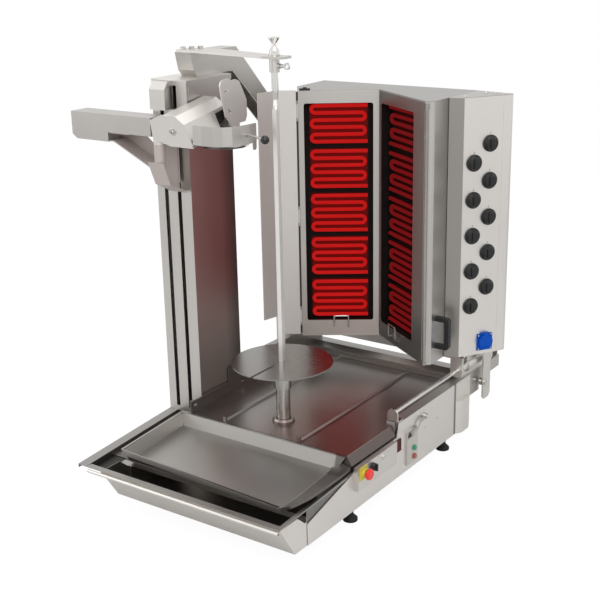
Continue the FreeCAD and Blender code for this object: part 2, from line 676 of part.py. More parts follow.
def make_cover_box():
    """Chamfered cover over the upper end of the left slot."""
    low, high = COL_Z1 - 75, COL_Z1 - 1
    prof = [(COL_Y0, low), (348.0, low), (348.0, high - 20), (362.0, high), (COL_Y0, high)]
    outer = prism_x(prof, -316.0, -262.5)
    core = [(COL_Y0 + 1, low + 1.5), (349.5, low + 1.5), (349.5, high - 20.5), (362.8, high - 1.5)]
    core += [(COL_Y0 + 1, high - 1.5)]
    return outer.cut(prism_x(core, -314.5, -264.0))


LIFT_X = -278.5
LIFT_Y = 500.0
SCREW_R = 9.0
GUIDES_X = (-322.0, -228.0)
GUIDE_Y = 440.0
GUIDE_R = 8.0


def make_lead_screw():
    low, high = PLATE_Z + 12, COL_Z1 - 13
    prof = [(0, low), (6.0, low), (6.0, low + 13), (SCREW_R, low + 13), (SCREW_R, high - 15)]
    prof += [(6.0, high - 15), (6.0, high), (0, high)]
    return revolve_z(prof, LIFT_X, LIFT_Y)


def make_screw_bearings():
    parts = []
    top = COL_Z1 - 7
    low = box(-310.0, 478.0, PLATE_Z, -247.0, 522.0, PLATE_Z + 22)
    high = box(COL_X0 + SHEET, 478.0, top - 18, COL_X1 - SHEET, 522.0, top)
    for block in (low, high):
        parts.append(block.cut(cyl(LIFT_X, LIFT_Y, PLATE_Z - 72, 6.05, COL_Z1)))
    for x in GUIDES_X:
        parts.append(cyl(x, GUIDE_Y, PLATE_Z, GUIDE_R, top - PLATE_Z))
    plate = box(COL_X0 + SHEET, 428.0, top, COL_X1 - SHEET, 522.0, top + 4)
    parts.append(plate.cut(cyl(LIFT_X, LIFT_Y, top - 12, 6.5, 30.0)))
    return fuse(parts)


# ---- cutter carriage ----------------------------------------------------
def make_lift_block():
    """Nut block inside the column with a tongue through each slot."""
    z0, z1 = HEAD_Z - 130, HEAD_Z - 30
    block = box(-330.0, 405.0, z0, -218.0, 520.0, z1)
    block = block.cut(box(-300.0, 455.0, z0 + 15, -257.0, 530.0, z1 - 15))
    block = block.cut(box(-330.5, 460.0, z0 - 10, -308.0, 530.0, z1 + 10))
    block = block.cut(box(-246.0, 460.0, z0 - 10, -217.0, 530.0, z1 + 10))
    nut = tube(LIFT_X, LIFT_Y, z0, 22.0, SCREW_R + 0.06, z1 - z0)
    arm = box(LIFT_X - 18, 450.0, z0 + 20, LIFT_X + 18, 485.0, z1 - 20)
    out = fuse([block, nut, arm])
    out = out.cut(cyl(LIFT_X, LIFT_Y, z0 - 80, SCREW_R + 0.06, 300.0))
    for x in GUIDES_X:
        out = out.cut(cyl(x, GUIDE_Y, z0 - 80, GUIDE_R + 0.06, 300.0))
    out = out.cut(box(-281.0, 400.0, z0 - 10, -277.0, 409.0, z1 + 10))
    tongues = []
    for x in SLOTS_X:
        half = SLOT_W / 2 - 1.0
        tongues.append(box(x - half, COL_Y0 - 8, z0 + 12, x + half, 406.0, z1 - 12))
    return fuse([out] + tongues)


PIVOT_R = 9.0


def make_head_bracket():
    """Front plate, triangular web and flange that carry the head's pivot."""
    h = HEAD_Z
    y1 = COL_Y0 - 8
    plate = box(-312.0, y1 - 4, h - 152, -243.0, y1, h - 35)
    web = prism_x(
        [(y1 - 1, h - 174), (y1 - 1, h - 25), (300.0, h - 25), (287.0, h - 85), (312.0, h - 142)],
        -249.5, -245.5,
    )
    toe = [(y1, h - 178), (y1 - 4, h - 178), (308.0, h - 148), (283.0, h - 85), (287.0, h - 84)]
    toe += [(311.0, h - 145), (y1, h - 174)]
    flange = prism_x(toe, -276.0, -222.0)
    socket = tube(PIVOT.x, PIVOT.y, h - 85, 15.0, PIVOT_R + 0.06, 48.0)
    head = cyl(PIVOT.x, PIVOT.y, h - 85, 14.0, 48.0)
    web = web.cut(head).cut(cyl(PIVOT.x, PIVOT.y, h - 37, 15.6, 20.0))
    web = web.cut(cyl(PIVOT.x, PIVOT.y, h - 110, PIVOT_R + 0.5, 30.0))
    return fuse([plate, web, flange, socket])


ARM_BOX = ((-560.0, 31.0), (-560.0, -32.0), (-543.0, -44.0), (-424.0, -44.0), (-424.0, -18.0))


def make_arm_box():
    """Counter arm: deep outer end, shallower inner end."""
    y0, y1 = 292.0, 356.0
    pts = [(x, HEAD_Z + z) for x, z in ARM_BOX] + [(-268.0, HEAD_Z - 18), (-268.0, HEAD_Z + 31)]
    outer = prism_y(pts, y0, y1)
    core = offset_path(pts, 2.0, True)
    return outer.cut(prism_y(core, y0 + 2, y1 - 2))


def make_brace():
    """Diagonal channel from the arm down to the bracket."""
    h = HEAD_Z
    pts = [(-424.0, h - 18), (-424.0, h - 43.5), (-408.0, h - 43.5), (-276.0, h - 105)]
    pts += [(-276.0, h - 76), (-352.0, h - 18)]
    solid = prism_y(pts, 296.0, 352.0)
    cut = [(-430.0, h - 10), (-430.0, h - 40.5), (-407.0, h - 40.5), (-270.0, h - 104.5)]
    cut += [(-270.0, h - 79), (-353.0, h - 10)]
    body = solid.cut(prism_y(cut, 290.0, 349.0))
    pad = box(-276.0, 314.0, h - 105, -249.5, 352.0, h - 76)
    post = box(-424.0, 296.0, h - 21, -352.0, 352.0, h - 18)
    tab = box(-312.0, 349.0, h - 105, -276.0, COL_Y0 - 12, h - 90)
    return fuse([body, pad, post, tab])


# ---- cutter head (swings about the pivot) -------------------------------
HEAD_TILT = 10.0
HOUSE_X0 = -208.0
HOUSE_X1 = -118.0
HOUSE_Y0 = 282.0
HOUSE_LEN = 172.0
MOTOR_R = 29.0
SHAFT_R = 6.0
ROD_R = 3.5
GUARD_Z0 = HEAD_Z - 26
GUARD_Z1 = HEAD_Z + 24
DECK_TOP = HEAD_Z - 10


def tilt(shape):
    out = shape.copy()
    out.rotate(V(0, HOUSE_Y0, HEAD_Z), V(1, 0, 0), HEAD_TILT)
    return out


def house_points():
    pts = [(HOUSE_X0, HEAD_Z - 24), (HOUSE_X0 + 16, HEAD_Z - 35), (HOUSE_X1, HEAD_Z - 35)]
    pts += [(HOUSE_X1 - 20, HEAD_Z + 26), (HOUSE_X1 - 46, HEAD_Z + 46), (HOUSE_X0, HEAD_Z + 46)]
    return pts


def house_solid():
    return prism_y(house_points(), HOUSE_Y0, HOUSE_Y0 + HOUSE_LEN)


def make_housing():
    """Folded motor housing, open at the rear of its right side."""
    y1 = HOUSE_Y0 + HOUSE_LEN
    outer = house_solid()
    core = offset_path(house_points(), 2.0, True)
    out = outer.cut(prism_y(core, HOUSE_Y0 - 1, y1 - 2))
    out = out.cut(box(HOUSE_X1 - 19, y1 - 50, HEAD_Z - 28, HOUSE_X1 + 5, y1 - 6, HEAD_Z + 24))
    return tilt(out)


def make_end_plate():
    x0 = HOUSE_X0 - 44
    pts = [(x0, HEAD_Z - 20), (x0 + 9, HEAD_Z - 27), (x0 + 30, HEAD_Z - 27), (x0 + 56, HEAD_Z - 36)]
    pts += [(HOUSE_X1 + 1, HEAD_Z - 36), (HOUSE_X1 - 19, HEAD_Z + 27), (HOUSE_X1 - 45, HEAD_Z + 47)]
    pts += [(HOUSE_X0 - 4, HEAD_Z + 47), (x0, HEAD_Z + 31)]
    plate = prism_y(pts, HOUSE_Y0 - 3, HOUSE_Y0)
    plate = plate.cut(cyl(-178.0, HOUSE_Y0 - 5, HEAD_Z + 5, 6.0, 10, V(0, 1, 0)))
    plate = plate.cut(box(-190.0, HOUSE_Y0 - 5, HEAD_Z + 3, -166.0, HOUSE_Y0 + 5, HEAD_Z + 7))
    return tilt(plate)


def make_pivot_tube():
    """Pivot pin, its collar on the bracket and the web to the housing."""
    seat = HEAD_Z - 36.7
    prof = [(0, seat - 50), (PIVOT_R, seat - 50), (PIVOT_R, seat), (15.0, seat), (15.0, seat + 16.7)]
    prof += [(PIVOT_R, seat + 16.7), (PIVOT_R, seat + 5), (0, seat + 5)]
    pin = revolve_z(prof, PIVOT.x, PIVOT.y)
    web = box(PIVOT.x + 9, PIVOT.y - 4, HEAD_Z - 34, -190.0, PIVOT.y + 4, HEAD_Z - 22)
    web = web.cut(cyl(PIVOT.x, PIVOT.y, HEAD_Z - 40, 14.0, 30.0))
    arm = box(-206.0, 296.0, HEAD_Z - 34, -190.0, 330.0, HEAD_Z - 26)
    return fuse([pin, web, arm])


def make_blade_guard():
    """Band round the blade, from the housing's front corner to the rear right."""
    path = [(-119.0, 288.0), (-88.0, 285.0), (-55.0, 288.0), (-30.0, 298.0), (-13.0, 315.0)]
    path += [(-5.0, 340.0), (-2.0, 372.0), (-1.0, 400.0)]
    band = prism_z(strip(path, 2.0), GUARD_Z0, GUARD_Z1)
    roof_pts = [(-116.0, 286.0), (-88.0, 284.5), (-55.0, 288.0), (-31.0, 298.0), (-14.0, 315.0)]
    roof_pts += [(-6.0, 340.0), (-3.0, 372.0), (-2.0, 400.0), (-112.0, 400.0)]
    deck = prism_z(roof_pts, DECK_TOP - 2, DECK_TOP)
    bearing = cyl(BLADE.x, BLADE.y, DECK_TOP - 2, 18.0, 14.0)
    belt = box(-116.0, BLADE.y - 14, DECK_TOP - 1, BLADE.x, BLADE.y + 14, DECK_TOP + 9)
    lug = box(HOUSE_X1 - 12, 292.0, DECK_TOP - 7, -112.0, 360.0, DECK_TOP)
    lug = lug.cut(tilt(house_solid()))
    ear = box(-1.5, 384.0, GUARD_Z0 - 12, 1.0, 398.0, GUARD_Z0 + 6)
    ear2 = cyl(-1.5, 391.0, GUARD_Z0 - 12, 7.0, 2.5, V(1, 0, 0))
    out = fuse([band, deck, bearing, belt, lug, ear, ear2])
    return out.cut(cyl(BLADE.x, BLADE.y, DECK_TOP - 10, SHAFT_R + 0.06, 22.0))


def make_blade():
    disc = Part.makeCone(62.0, 58.0, 3.0, V(BLADE.x, BLADE.y, BLADE_Z))
    hub = cyl(BLADE.x, BLADE.y, BLADE_Z + 3, 14.0, 8.0)
    shaft = cyl(BLADE.x, BLADE.y, BLADE_Z + 11, SHAFT_R, DECK_TOP + 11 - BLADE_Z - 11)
    return fuse([disc, hub, shaft])


def make_blade_motor():
    """Motor inside the housing, seen through its side opening."""
    y1 = HOUSE_Y0 + HOUSE_LEN - 2
    at = V(HOUSE_X0 + 40, y1, HEAD_Z + 4)
    can = Part.makeCylinder(MOTOR_R, 84.0, at, V(0, -1, 0))
    nose = Part.makeCylinder(14.0, 16.0, at + V(0, -84, 0), V(0, -1, 0))
    return tilt(fuse([can, nose]))


FRONT_PLATE = (
    (387.0, 112.0), (393.0, 78.0), (407.0, 29.0), (430.0, 2.0), (465.0, -3.0),
    (461.0, 50.0), (457.0, 91.0), (439.0, 121.0), (420.0, 130.0), (402.0, 128.0), (391.0, 122.0),
)
REAR_PLATE = (
    (430.0, 4.0), (500.0, 6.0), (508.0, 19.0), (508.0, 64.0), (479.0, 116.0), (462.0, 122.0),
    (430.0, 118.0),
)


def make_tilt_plates():
    """Pair of slotted plates that set the head's lean."""
    x = HOUSE_X1 + 10
    front = prism_x([(y, HEAD_Z + z) for y, z in FRONT_PLATE], x, x + 4)
    back = prism_x([(y, HEAD_Z + z) for y, z in REAR_PLATE], x - 8, x - 4)
    for y, z, lean in ((413.0, 97.0, 15.0), (422.0, 43.0, -40.0)):
        slot = box(x - 1, y - 9, HEAD_Z + z - 2.5, x + 6, y + 9, HEAD_Z + z + 2.5)
        slot.rotate(V(x, y, HEAD_Z + z), V(1, 0, 0), lean)
        front = front.cut(slot)
    spacers = []
    for y, z in ((446.0, 30.0), (442.0, 100.0)):
        spacers.append(cyl(x - 6, y, HEAD_Z + z, 7.0, 8.0, V(1, 0, 0)))
    end = HOUSE_Y0 + HOUSE_LEN - 4
    strut = box(HOUSE_X1 - 14, end - 12, HEAD_Z + 30, x - 3, end, HEAD_Z + 42)
    return fuse([front, back, strut] + spacers)


ROD_AT = V(-1.0, 366.0, HEAD_Z - 2)
ROD_RUN = V(62.0, -12.0, -6.0)


def make_handle_rod():
    rod = Part.makeCylinder(ROD_R, ROD_RUN.Length, ROD_AT, ROD_RUN)
    collar = Part.makeCylinder(6.0, 6.0, ROD_AT, ROD_RUN)
    return fuse([rod, collar])


def make_handle_ball():
    ball = Part.makeSphere(11.5, ROD_AT + ROD_RUN)
    hole = Part.makeCylinder(ROD_R + 0.05, ROD_RUN.Length, ROD_AT, ROD_RUN)
    return ball.cut(hole)


# ---- heater cabinet -----------------------------------------------------
LEFT_END = 237.0
RIGHT_END = 284.0
WIN_U = (17.0, 221.0)
WIN_Z = (351.0, 1021.0)
RECESS = 34.0         # depth of the fired lining behind the window


ROD_R2 = 5.0
ROD = panel_point(1, RIGHT_END + 16, 3.0, 0)
SIDE_X1 = 304.0
SIDE_A = (SIDE_X1, 799.0)
SIDE_B = (SIDE_X1, 874.0)


def heater_outline():
    r = panel_point(1, RIGHT_END, -3, 0)
    l = panel_point(-1, LEFT_END, -3, 0)
    back = 3 / math.cos(math.radians(HALF_V))
    return [
        (l.x, l.y), (APEX.x, APEX.y + back), (r.x, r.y), (SIDE_X1 - 4, 794.0), SIDE_A, SIDE_B,
        (SIDE_X1 + 2, 1048.0), (-221.0, 1048.0), (-214.0, 890.0),
    ]


def make_heater_shell():
    pts = heater_outline()
    out = ring_prism(pts, 2.0, HEAT_Z0 + 2, HEAT_Z1)
    floor = prism_z(pts, HEAT_Z0, HEAT_Z0 + 2)
    out = fuse([out, floor])
    for side in (1, -1):
        out = out.cut(panel_box(side, 12, WIN_U[1] + 4, -12, 2, HEAT_Z0 + 20, HEAT_Z1 - 16))
    for i in range(4):
        for j in range(3):
            x = -120.0 + 90 * i
            z = 420.0 + 14 * j
            out = out.cut(box(x, 1040.0, z, x + 60, 1060.0, z + 5))
            out = out.cut(box(x, 1040.0, z + 500, x + 60, 1060.0, z + 505))
    return out


def make_heater_roof():
    pts = heater_outline()
    roof = prism_z(offset_path(pts, -0.4, True), HEAT_Z1, HEAT_Z1 + 2)
    return roof


def make_panel_frame(side, end):
    z0, z1 = HEAT_Z0 + 7, HEAT_Z1
    frame = panel_box(side, 6, end, 0, 2, z0, z1)
    folds = [
        panel_box(side, 6, end, -3, 0, z0, z0 + 2),
        panel_box(side, 6, end, -3, 0, z1 - 2, z1),
        panel_box(side, end - 2, end, -3, 0, z0, z1),
    ]
    out = fuse([frame] + folds)
    cutter = panel_box(side, WIN_U[0], WIN_U[1], -1, 4, WIN_Z[0], WIN_Z[1])
    edges = [e for e in cutter.Edges if abs(abs(e.tangentAt(0).dot(panel_normal(side))) - 1) < 1e-3]
    cutter = cutter.makeFillet(7.0, edges)
    return out.cut(cutter)


def make_recess(side):
    """Refractory box behind the window."""
    u0, u1 = WIN_U[0] - 3, WIN_U[1] + 3
    z0, z1 = WIN_Z[0] - 4, WIN_Z[1] + 4
    outer = panel_box(side, u0, u1, -RECESS - 6, 0, z0, z1)
    return outer.cut(panel_box(side, u0 + 3, u1 - 3, -RECESS, 1, z0 + 3, z1 - 3))


def serpentine(side, z_mid):
    w, pitch = 12.0, EL_PASS
    u_near, u_far = 33.0, 205.0 - w / 2
    c = 5.4
    z = z_mid + 2.5 * pitch
    path = [(u_near, z)]
    for i in range(6):
        outward = i % 2 == 0
        u_end = u_far if outward else u_near + w / 2
        s = 1 if outward else -1
        if i == 5:
            path.append((u_near, z))
            break
        path.append((u_end - s * c, z))
        path.append((u_end, z - c))
        path.append((u_end, z - pitch + c))
        path.append((u_end - s * c, z - pitch))
        z -= pitch
    outline = strip(path, w)
    pts = [(side * u, v) for u, v in outline]
    solid = prism_y(pts, RECESS - 17, RECESS - 9)
    return panel_place(solid, side)


def make_elements(side):
    rows = []
    for i in range(EL_ROWS):
        z = EL_TOP_Z - EL_PITCH * i
        rows.append(serpentine(side, z))
        for u in (75.0, 165.0):
            mid = z + EL_PASS / 2
            rows.append(panel_box(side, u - 2, u + 2, -RECESS, 9 - RECESS, mid - 5, mid + 5))
    return Part.makeCompound([s for s in fuse(rows).Solids])


def make_wire_handle(side):
    """Bent square-wire handle with two feet on the panel's lower rail."""
    u0, u1 = 94.0, 138.0
    z0, z1 = 330.0, 368.0
    v1 = 15.0
    w = 1.6
    bars = [panel_box(side, u0 - w, u1 + w, v1 - 2 * w, v1, z1 - w, z1 + w)]
    for u in (u0, u1):
        bars.append(panel_box(side, u - w, u + w, v1 - 2 * w, v1, z0, z1))
        bars.append(panel_box(side, u - w, u + w, 2.0, v1, z0 - 2 * w, z0))
        bars.append(panel_box(side, u - 5, u + 5, 2.0, 4.0, z0 - 8, z0 + 8))
    return fuse(bars)


# left shield, hinged at the left panel's outer edge
HINGE_OUT = 2.8      # pin beyond the frame's edge
HINGE_V = 4.0
PIN_HINGE_R = 1.6
KNUCKLE_R = 3.0
HINGE_L = panel_point(-1, LEFT_END + HINGE_OUT, HINGE_V, 0)
SHIELD_Z = (HEAT_Z0 + 8, HEAT_Z1 + 4)
SHIELD_FLAP = 75.0
KNEE_U = 299.0


def knuckle_heights():
    z0, z1 = SHIELD_Z
    return (z0 + 40, (z0 + z1) / 2 - 20, z1 - 80)


def make_shield():
    """Folded reflector: a wall in line with the panel and a flap towards the spit."""
    z0, z1 = SHIELD_Z
    start = LEFT_END + HINGE_OUT + KNUCKLE_R + 0.4
    a = panel_point(-1, start, HINGE_V, 0)
    b = panel_point(-1, KNEE_U, HINGE_V, 0)
    head = math.radians(12)
    c = V(b.x - SHIELD_FLAP * math.sin(head), b.y - SHIELD_FLAP * math.cos(head), 0)
    inner = prism_z(strip([(a.x, a.y), (b.x, b.y), (c.x, c.y)], 2.0), z0 + 63, z1)
    low = prism_z(strip([(a.x, a.y), (b.x, b.y)], 2.0), z0, z0 + 64)
    knuckles = []
    for z in knuckle_heights():
        barrel = tube(HINGE_L.x, HINGE_L.y, z, KNUCKLE_R, PIN_HINGE_R + 0.06, 40.0)
        leaf = panel_box(-1, start - KNUCKLE_R - 1, start + 2, HINGE_V - 1, HINGE_V + 1, z, z + 40)
        leaf = leaf.cut(cyl(HINGE_L.x, HINGE_L.y, z - 1, PIN_HINGE_R + 0.8, 50))
        knuckles.append(fuse([barrel, leaf]))
    return fuse([inner, low] + knuckles)


def make_shield_pins():
    """Hinge pins and ears on the panel, and the strip that closes the hinge gap."""
    z0, z1 = SHIELD_Z
    parts = [panel_box(-1, LEFT_END - 1, LEFT_END + 9, -3, -1.5, z0, HEAT_Z1)]
    for z in knuckle_heights():
        parts.append(cyl(HINGE_L.x, HINGE_L.y, z - 10, PIN_HINGE_R, 60.0))
        for zz in (z - 10, z + 40.3):
            ear = cyl(HINGE_L.x, HINGE_L.y, zz, KNUCKLE_R, 9.7)
            tongue = panel_box(-1, LEFT_END - 8, LEFT_END + HINGE_OUT, 2, HINGE_V, zz, zz + 9.7)
            parts.append(fuse([ear, tongue]))
    return fuse(parts)


ROD_Z = (314.0, 1040.0)


def make_edge_rod():
    return cyl(ROD.x, ROD.y, ROD_Z[0], ROD_R2, ROD_Z[1] - ROD_Z[0])


def make_rod_brackets():
    parts = []
    for z0, z1 in ((ROD_Z[0] - 8, ROD_Z[0]), (ROD_Z[1], HEAT_Z1)):
        pad = cyl(ROD.x, ROD.y, z0, ROD_R2 + 2, z1 - z0)
        arm = panel_box(1, RIGHT_END, RIGHT_END + 14, -2.9, 4, z0, z1)
        parts.append(fuse([pad, arm]))
    return Part.makeCompound(parts)


GRIP_Z = (343.0, 439.0)
GRIP_OUT = 44.0
GRIP_T = 13.0


def make_grip():
    """Black U handle on the side wall."""
    z0, z1 = GRIP_Z
    out, t = GRIP_OUT, GRIP_T
    y = SIDE_A[1] + 20.0
    x = SIDE_X1
    pts = [(0, z0), (out - 6, z0), (out, z0 + 8), (out, z1 - 8), (out - 6, z1), (0, z1)]
    pts += [(0, z1 - t), (out - t - 3, z1 - t), (out - t, z1 - t - 4), (out - t, z0 + t + 4)]
    pts += [(out - t - 3, z0 + t), (0, z0 + t)]
    return prism_y([(x + d, z) for d, z in pts], y, y + 16)


# control box
BOX_PTS = [(305.4, 877.5), (344.0, 893.0), (426.0, 1019.3), (426.0, 1030.0), (307.5, 1046.0)]
FACE_A = V(344.0, 893.0, 0)
FACE_DIR = V(426.0 - 344.0, 1019.3 - 893.0, 0)
FACE_DIR.normalize()
FACE_N = V(FACE_DIR.y, -FACE_DIR.x, 0)
KNOB_COLS = (36.5, 87.5)
KNOB_Z = (926.0, 874.0, 820.5, 768.0, 715.0, 663.5, 610.0, 558.5, 506.0, 453.0)
KNOB_R = 24.0


def face_point(s, z, out=0.0):
    return FACE_A + FACE_DIR * s + FACE_N * out + V(0, 0, z)


def knob_spots():
    spots = []
    for i, z in enumerate(KNOB_Z):
        spots.append((KNOB_COLS[1] if i % 2 == 0 else KNOB_COLS[0], z))
    return spots


SOCKET = (86.0, 338.0)


def make_control_box():
    out = ring_prism(BOX_PTS, 1.5, HEAT_Z0, HEAT_Z1)
    out = out.fuse(prism_z(BOX_PTS, HEAT_Z0, HEAT_Z0 + 1.5)).removeSplitter()
    for s, z in knob_spots():
        out = out.cut(Part.makeCylinder(4.06, 8.0, face_point(s, z, -5), FACE_N))
    s, z = SOCKET
    out = out.cut(Part.makeCylinder(19.0, 8.0, face_point(s, z, -5), FACE_N))
    groove = face_point(125.0, HEAT_Z0 - 1, -0.6)
    q = [groove, groove + FACE_DIR * 1.4, groove + FACE_DIR * 1.4 + FACE_N * 2, groove + FACE_N * 2]
    out = out.cut(_face(q).extrude(V(0, 0, HEAT_Z1 - HEAT_Z0 + 2)))
    return out


def make_box_cap():
    return prism_z(offset_path(BOX_PTS, -0.4, True), HEAT_Z1, HEAT_Z1 + 2)


def make_regulators():
    blocks = []
    for s, z in knob_spots():
        body = box(-17.0, -17.0, -29.5, 17.0, 17.0, -1.5)
        body = body.cut(cyl(0, 0, -24.0, 4.06, 30.0))
        blocks.append(on_face(body, s, z))
    return blocks


def make_knob(s, z):
    r = KNOB_R
    prof = [(0, 0.4), (r, 0.4), (r, 5.0), (r - 5.0, 12.0), (0, 12.0)]
    body = revolve_z(prof, 0, 0)
    bar = box(-7.0, -15.5, 5.0, 7.0, 15.5, 19.0)
    shaft = cyl(0, 0, -22.0, 4.0, 23.0)
    knob = fuse([body, bar, shaft])
    return on_face(knob, s, z)


def on_face(shape, s, z):
    out = shape.copy()
    rot = FreeCAD.Rotation(FACE_DIR, V(0, 0, 1), FACE_N, "ZYX")
    out.Placement = FreeCAD.Placement(face_point(s, z), rot).multiply(out.Placement)
    return out


def make_socket():
    flange = box(-25.0, -27.0, 0.0, 25.0, 23.0, 4.0)
    body = cyl(0, 0, -30.0, 18.7, 34.0)
    ears = [box(-12, 21.0, 0, -7, 27.0, 8.0), box(7, 21.0, 0, 12, 27.0, 8.0)]
    cup = cyl(0, 0, 4.0, 21.0, 4.0)
    out = fuse([flange, body, cup] + ears)
    out = out.cut(cyl(0, 0, -10.0, 17.0, 20.0))
    out = out.cut(cyl(-15, 25.0, 5.5, 1.56, 30, V(1, 0, 0)))
    pins = [box(x - 2, y - 2, -11.0, x + 2, y + 2, -2.0) for x, y in ((-7, 5), (7, 5), (0, -8))]
    return on_face(fuse([out] + pins), *SOCKET)


def make_socket_lid():
    lid = cyl(0, 0, 8.3, 22.5, 3.5)
    tongue = box(-6.5, 14.0, 8.3, 6.5, 27.0, 11.8)
    rib = box(-9.0, -22.0, 11.8, 9.0, -16.0, 15.0)
    pin = cyl(-12.5, 25.0, 5.5, 1.5, 25.0, V(1, 0, 0))
    link = box(-6.5, 23.4, 4.4, 6.5, 27.0, 9.0)
    return on_face(fuse([lid, tongue, rib, pin, link]), *SOCKET)


# ---- carriage that runs on the guide bar --------------------------------
def make_guide_bar():
    return cyl(BAR_X, TAB_Y + 2, BAR_Z, BAR_R, BAR_END - TAB_Y, V(0, 1, 0))


TAB_R = 16.0
TAB_T = 5.0
TAB_Y = 562.0
BAR_END = BEAM_Y1 - 13


def make_bar_tabs():
    """Round-topped end plates of the guide bar; the front one reaches down to the rim."""
    parts = []
    xc = BAR_X - 7
    mid = BAR_Z - 8
    for y, low in ((TAB_Y, 157.0), (BAR_END, TOP_Z)):
        parts.append(box(xc - TAB_R, y, TOP_Z, xc + TAB_R, y + TAB_T, mid))
        parts.append(cyl(xc, y, mid, TAB_R, TAB_T, V(0, 1, 0)))
        if low < TOP_Z:
            parts.append(box(DECK_X1 + 1, y, low, xc + TAB_R, y + TAB_T, TOP_Z + 1))
    parts.append(box(xc - TAB_R, TAB_Y, TOP_Z, xc + TAB_R, TAB_Y + 30, TOP_Z + 3))
    parts.append(box(xc - TAB_R, BAR_END - 7, TOP_Z, xc + TAB_R, BAR_END + TAB_T, TOP_Z + 3))
    return parts


def make_carriage():
    """Cross frame under the cabinet with its bearings and left shoe."""
    z1 = HEAT_Z0
    parts = [box(-219.0, 960.0, z1 - 6, CLAMP_X + 4, 1000.0, z1)]
    parts.append(box(296.0, 905.0, z1 - 6, CLAMP_X + 4, 1104.0, z1))
    ring = cyl(BAR_X, 925.0, BAR_Z, 20.0, 8, V(0, 1, 0))
    hang = box(BAR_X - 20, 925.0, BAR_Z, BAR_X + 20, 933.0, z1 - 6)
    parts += [ring, hang]
    sleeve = cyl(BAR_X, 978.0, BAR_Z, 18.0, 122.0, V(0, 1, 0))
    parts += [sleeve, box(BAR_X - 9, 978.0, BAR_Z + 12, BAR_X + 9, 1100.0, z1 - 6)]
    collar = cyl(BAR_X, 933.0, BAR_Z, 13.0, 45.0, V(0, 1, 0))
    parts.append(collar)
    shoe = box(-228.0, 905.0, WALL_HIGH_Z + GAP, -214.0, 1000.0, z1)
    parts += [shoe, box(-228.0, 905.0, z1 - 6, -200.0, 1000.0, z1)]
    out = fuse(parts)
    return out.cut(cyl(BAR_X, 900.0, BAR_Z, BAR_R + 0.06, 300.0, V(0, 1, 0)))


CLAMP_X = RIM_X + 15.0
CLAMP_AT = (1056.0, 168.0)
CLAMP_R = 5.0


def make_clamp_plate():
    """Hanging plate outside the rail, with the clamp screw's nut."""
    x0 = CLAMP_X
    cy, cz = CLAMP_AT
    y0, y1 = cy - 12, cy + 38
    pts = [(y0, cz - 46), (y0 + 10, cz - 56), (y1 - 10, cz - 56), (y1, cz - 46)]
    pts += [(y1, HEAT_Z0 - 70), (y1 + 12, HEAT_Z0 - 60), (y1 + 12, HEAT_Z0), (y0, HEAT_Z0)]
    plate = prism_x(pts, x0, x0 + 4)
    nut = cyl(x0 + 4, cy, cz, 9.0, 5.0, V(1, 0, 0))
    out = fuse([plate, nut])
    return out.cut(cyl(x0 - 1, cy, cz, CLAMP_R + 0.06, 20, V(1, 0, 0)))


def make_clamp_screw():
    """Clamp screw with a knurled wheel between the plate and the base."""
    x0 = RIM_X + 0.3
    cy, cz = CLAMP_AT
    shaft = cyl(x0, cy, cz, CLAMP_R, CLAMP_X + 9 - x0, V(1, 0, 0))
    wheel = cyl(x0 + 3, cy, cz, 12.0, 9.0, V(1, 0, 0))
    for i in range(6):
        a = math.radians(60 * i)
        notch = box(x0 + 2, -2.2, 10.4, x0 + 14, 2.2, 14.0)
        notch.rotate(V(0, 0, 0), V(1, 0, 0), math.degrees(a))
        notch.translate(V(0, cy, cz))
        wheel = wheel.cut(notch)
    return fuse([shaft, wheel])


# ---- side controls ------------------------------------------------------
CTRL_X = 349.0
CTRL_Y = (330.0, 530.0)
CTRL_Z = (106.0, 172.0)


def make_control_housing():
    y0, y1 = CTRL_Y
    z0, z1 = CTRL_Z
    out = box(RIM_X, y0, z0, CTRL_X, y1, z1)
    out = out.cut(box(RIM_X - 1, y0 + 1.5, z0 + 1.5, CTRL_X - 1.5, y1 - 1.5, z1 - 1.5))
    for (y, z), r in ((ESTOP, 9.1), (SELECT, 4.1), (KEY, 5.0)):
        out = out.cut(cyl(CTRL_X - 5, y, z, r, 10, V(1, 0, 0)))
    return out


ESTOP = (355.0, 152.0)
SELECT = (402.0, 151.0)
KEY = (460.0, 155.0)


def make_estop_base():
    y, z = ESTOP
    plate = box(CTRL_X, y - 17, z - 18, CTRL_X + 2, y + 17, z + 18)
    ring = cyl(CTRL_X - 12, y, z, 9.0, 12, V(1, 0, 0))
    boss = cyl(CTRL_X + 2, y, z, 13.0, 8, V(1, 0, 0))
    out = fuse([plate, ring, boss])
    return out.cut(cyl(CTRL_X - 20, y, z, 6.1, 40, V(1, 0, 0)))


def make_estop():
    y, z = ESTOP
    prof = [(0, 0), (6.0, 0), (6.0, 22.0), (12.0, 22.0), (15.5, 25.5), (15.5, 29.0)]
    prof += [(11.5, 33.5), (0, 33.5)]
    return aim(revolve_z(prof, 0, 0), V(1, 0, 0), V(CTRL_X - 8, y, z))


def make_selector():
    y, z = SELECT
    prof = [(0, -12.0), (4.0, -12.0), (4.0, 0.4), (11.0, 0.4), (10.0, 11.0), (0, 11.0)]
    body = aim(revolve_z(prof, 0, 0), V(1, 0, 0), V(CTRL_X, y, z))
    bar = box(CTRL_X + 9, y - 2.5, z - 9.5, CTRL_X + 16, y + 2.5, z + 9.5)
    return fuse([body, bar])


def make_key_switch():
    y, z = KEY
    ring = tube(CTRL_X, y, z, 8.0, 4.0, 3.0, V(1, 0, 0))
    core = cyl(CTRL_X - 10, y, z, 4.8, 11.0, V(1, 0, 0))
    core = core.cut(box(CTRL_X - 1, y - 1, z - 3, CTRL_X + 4, y + 1, z + 3))
    return fuse([ring, core])


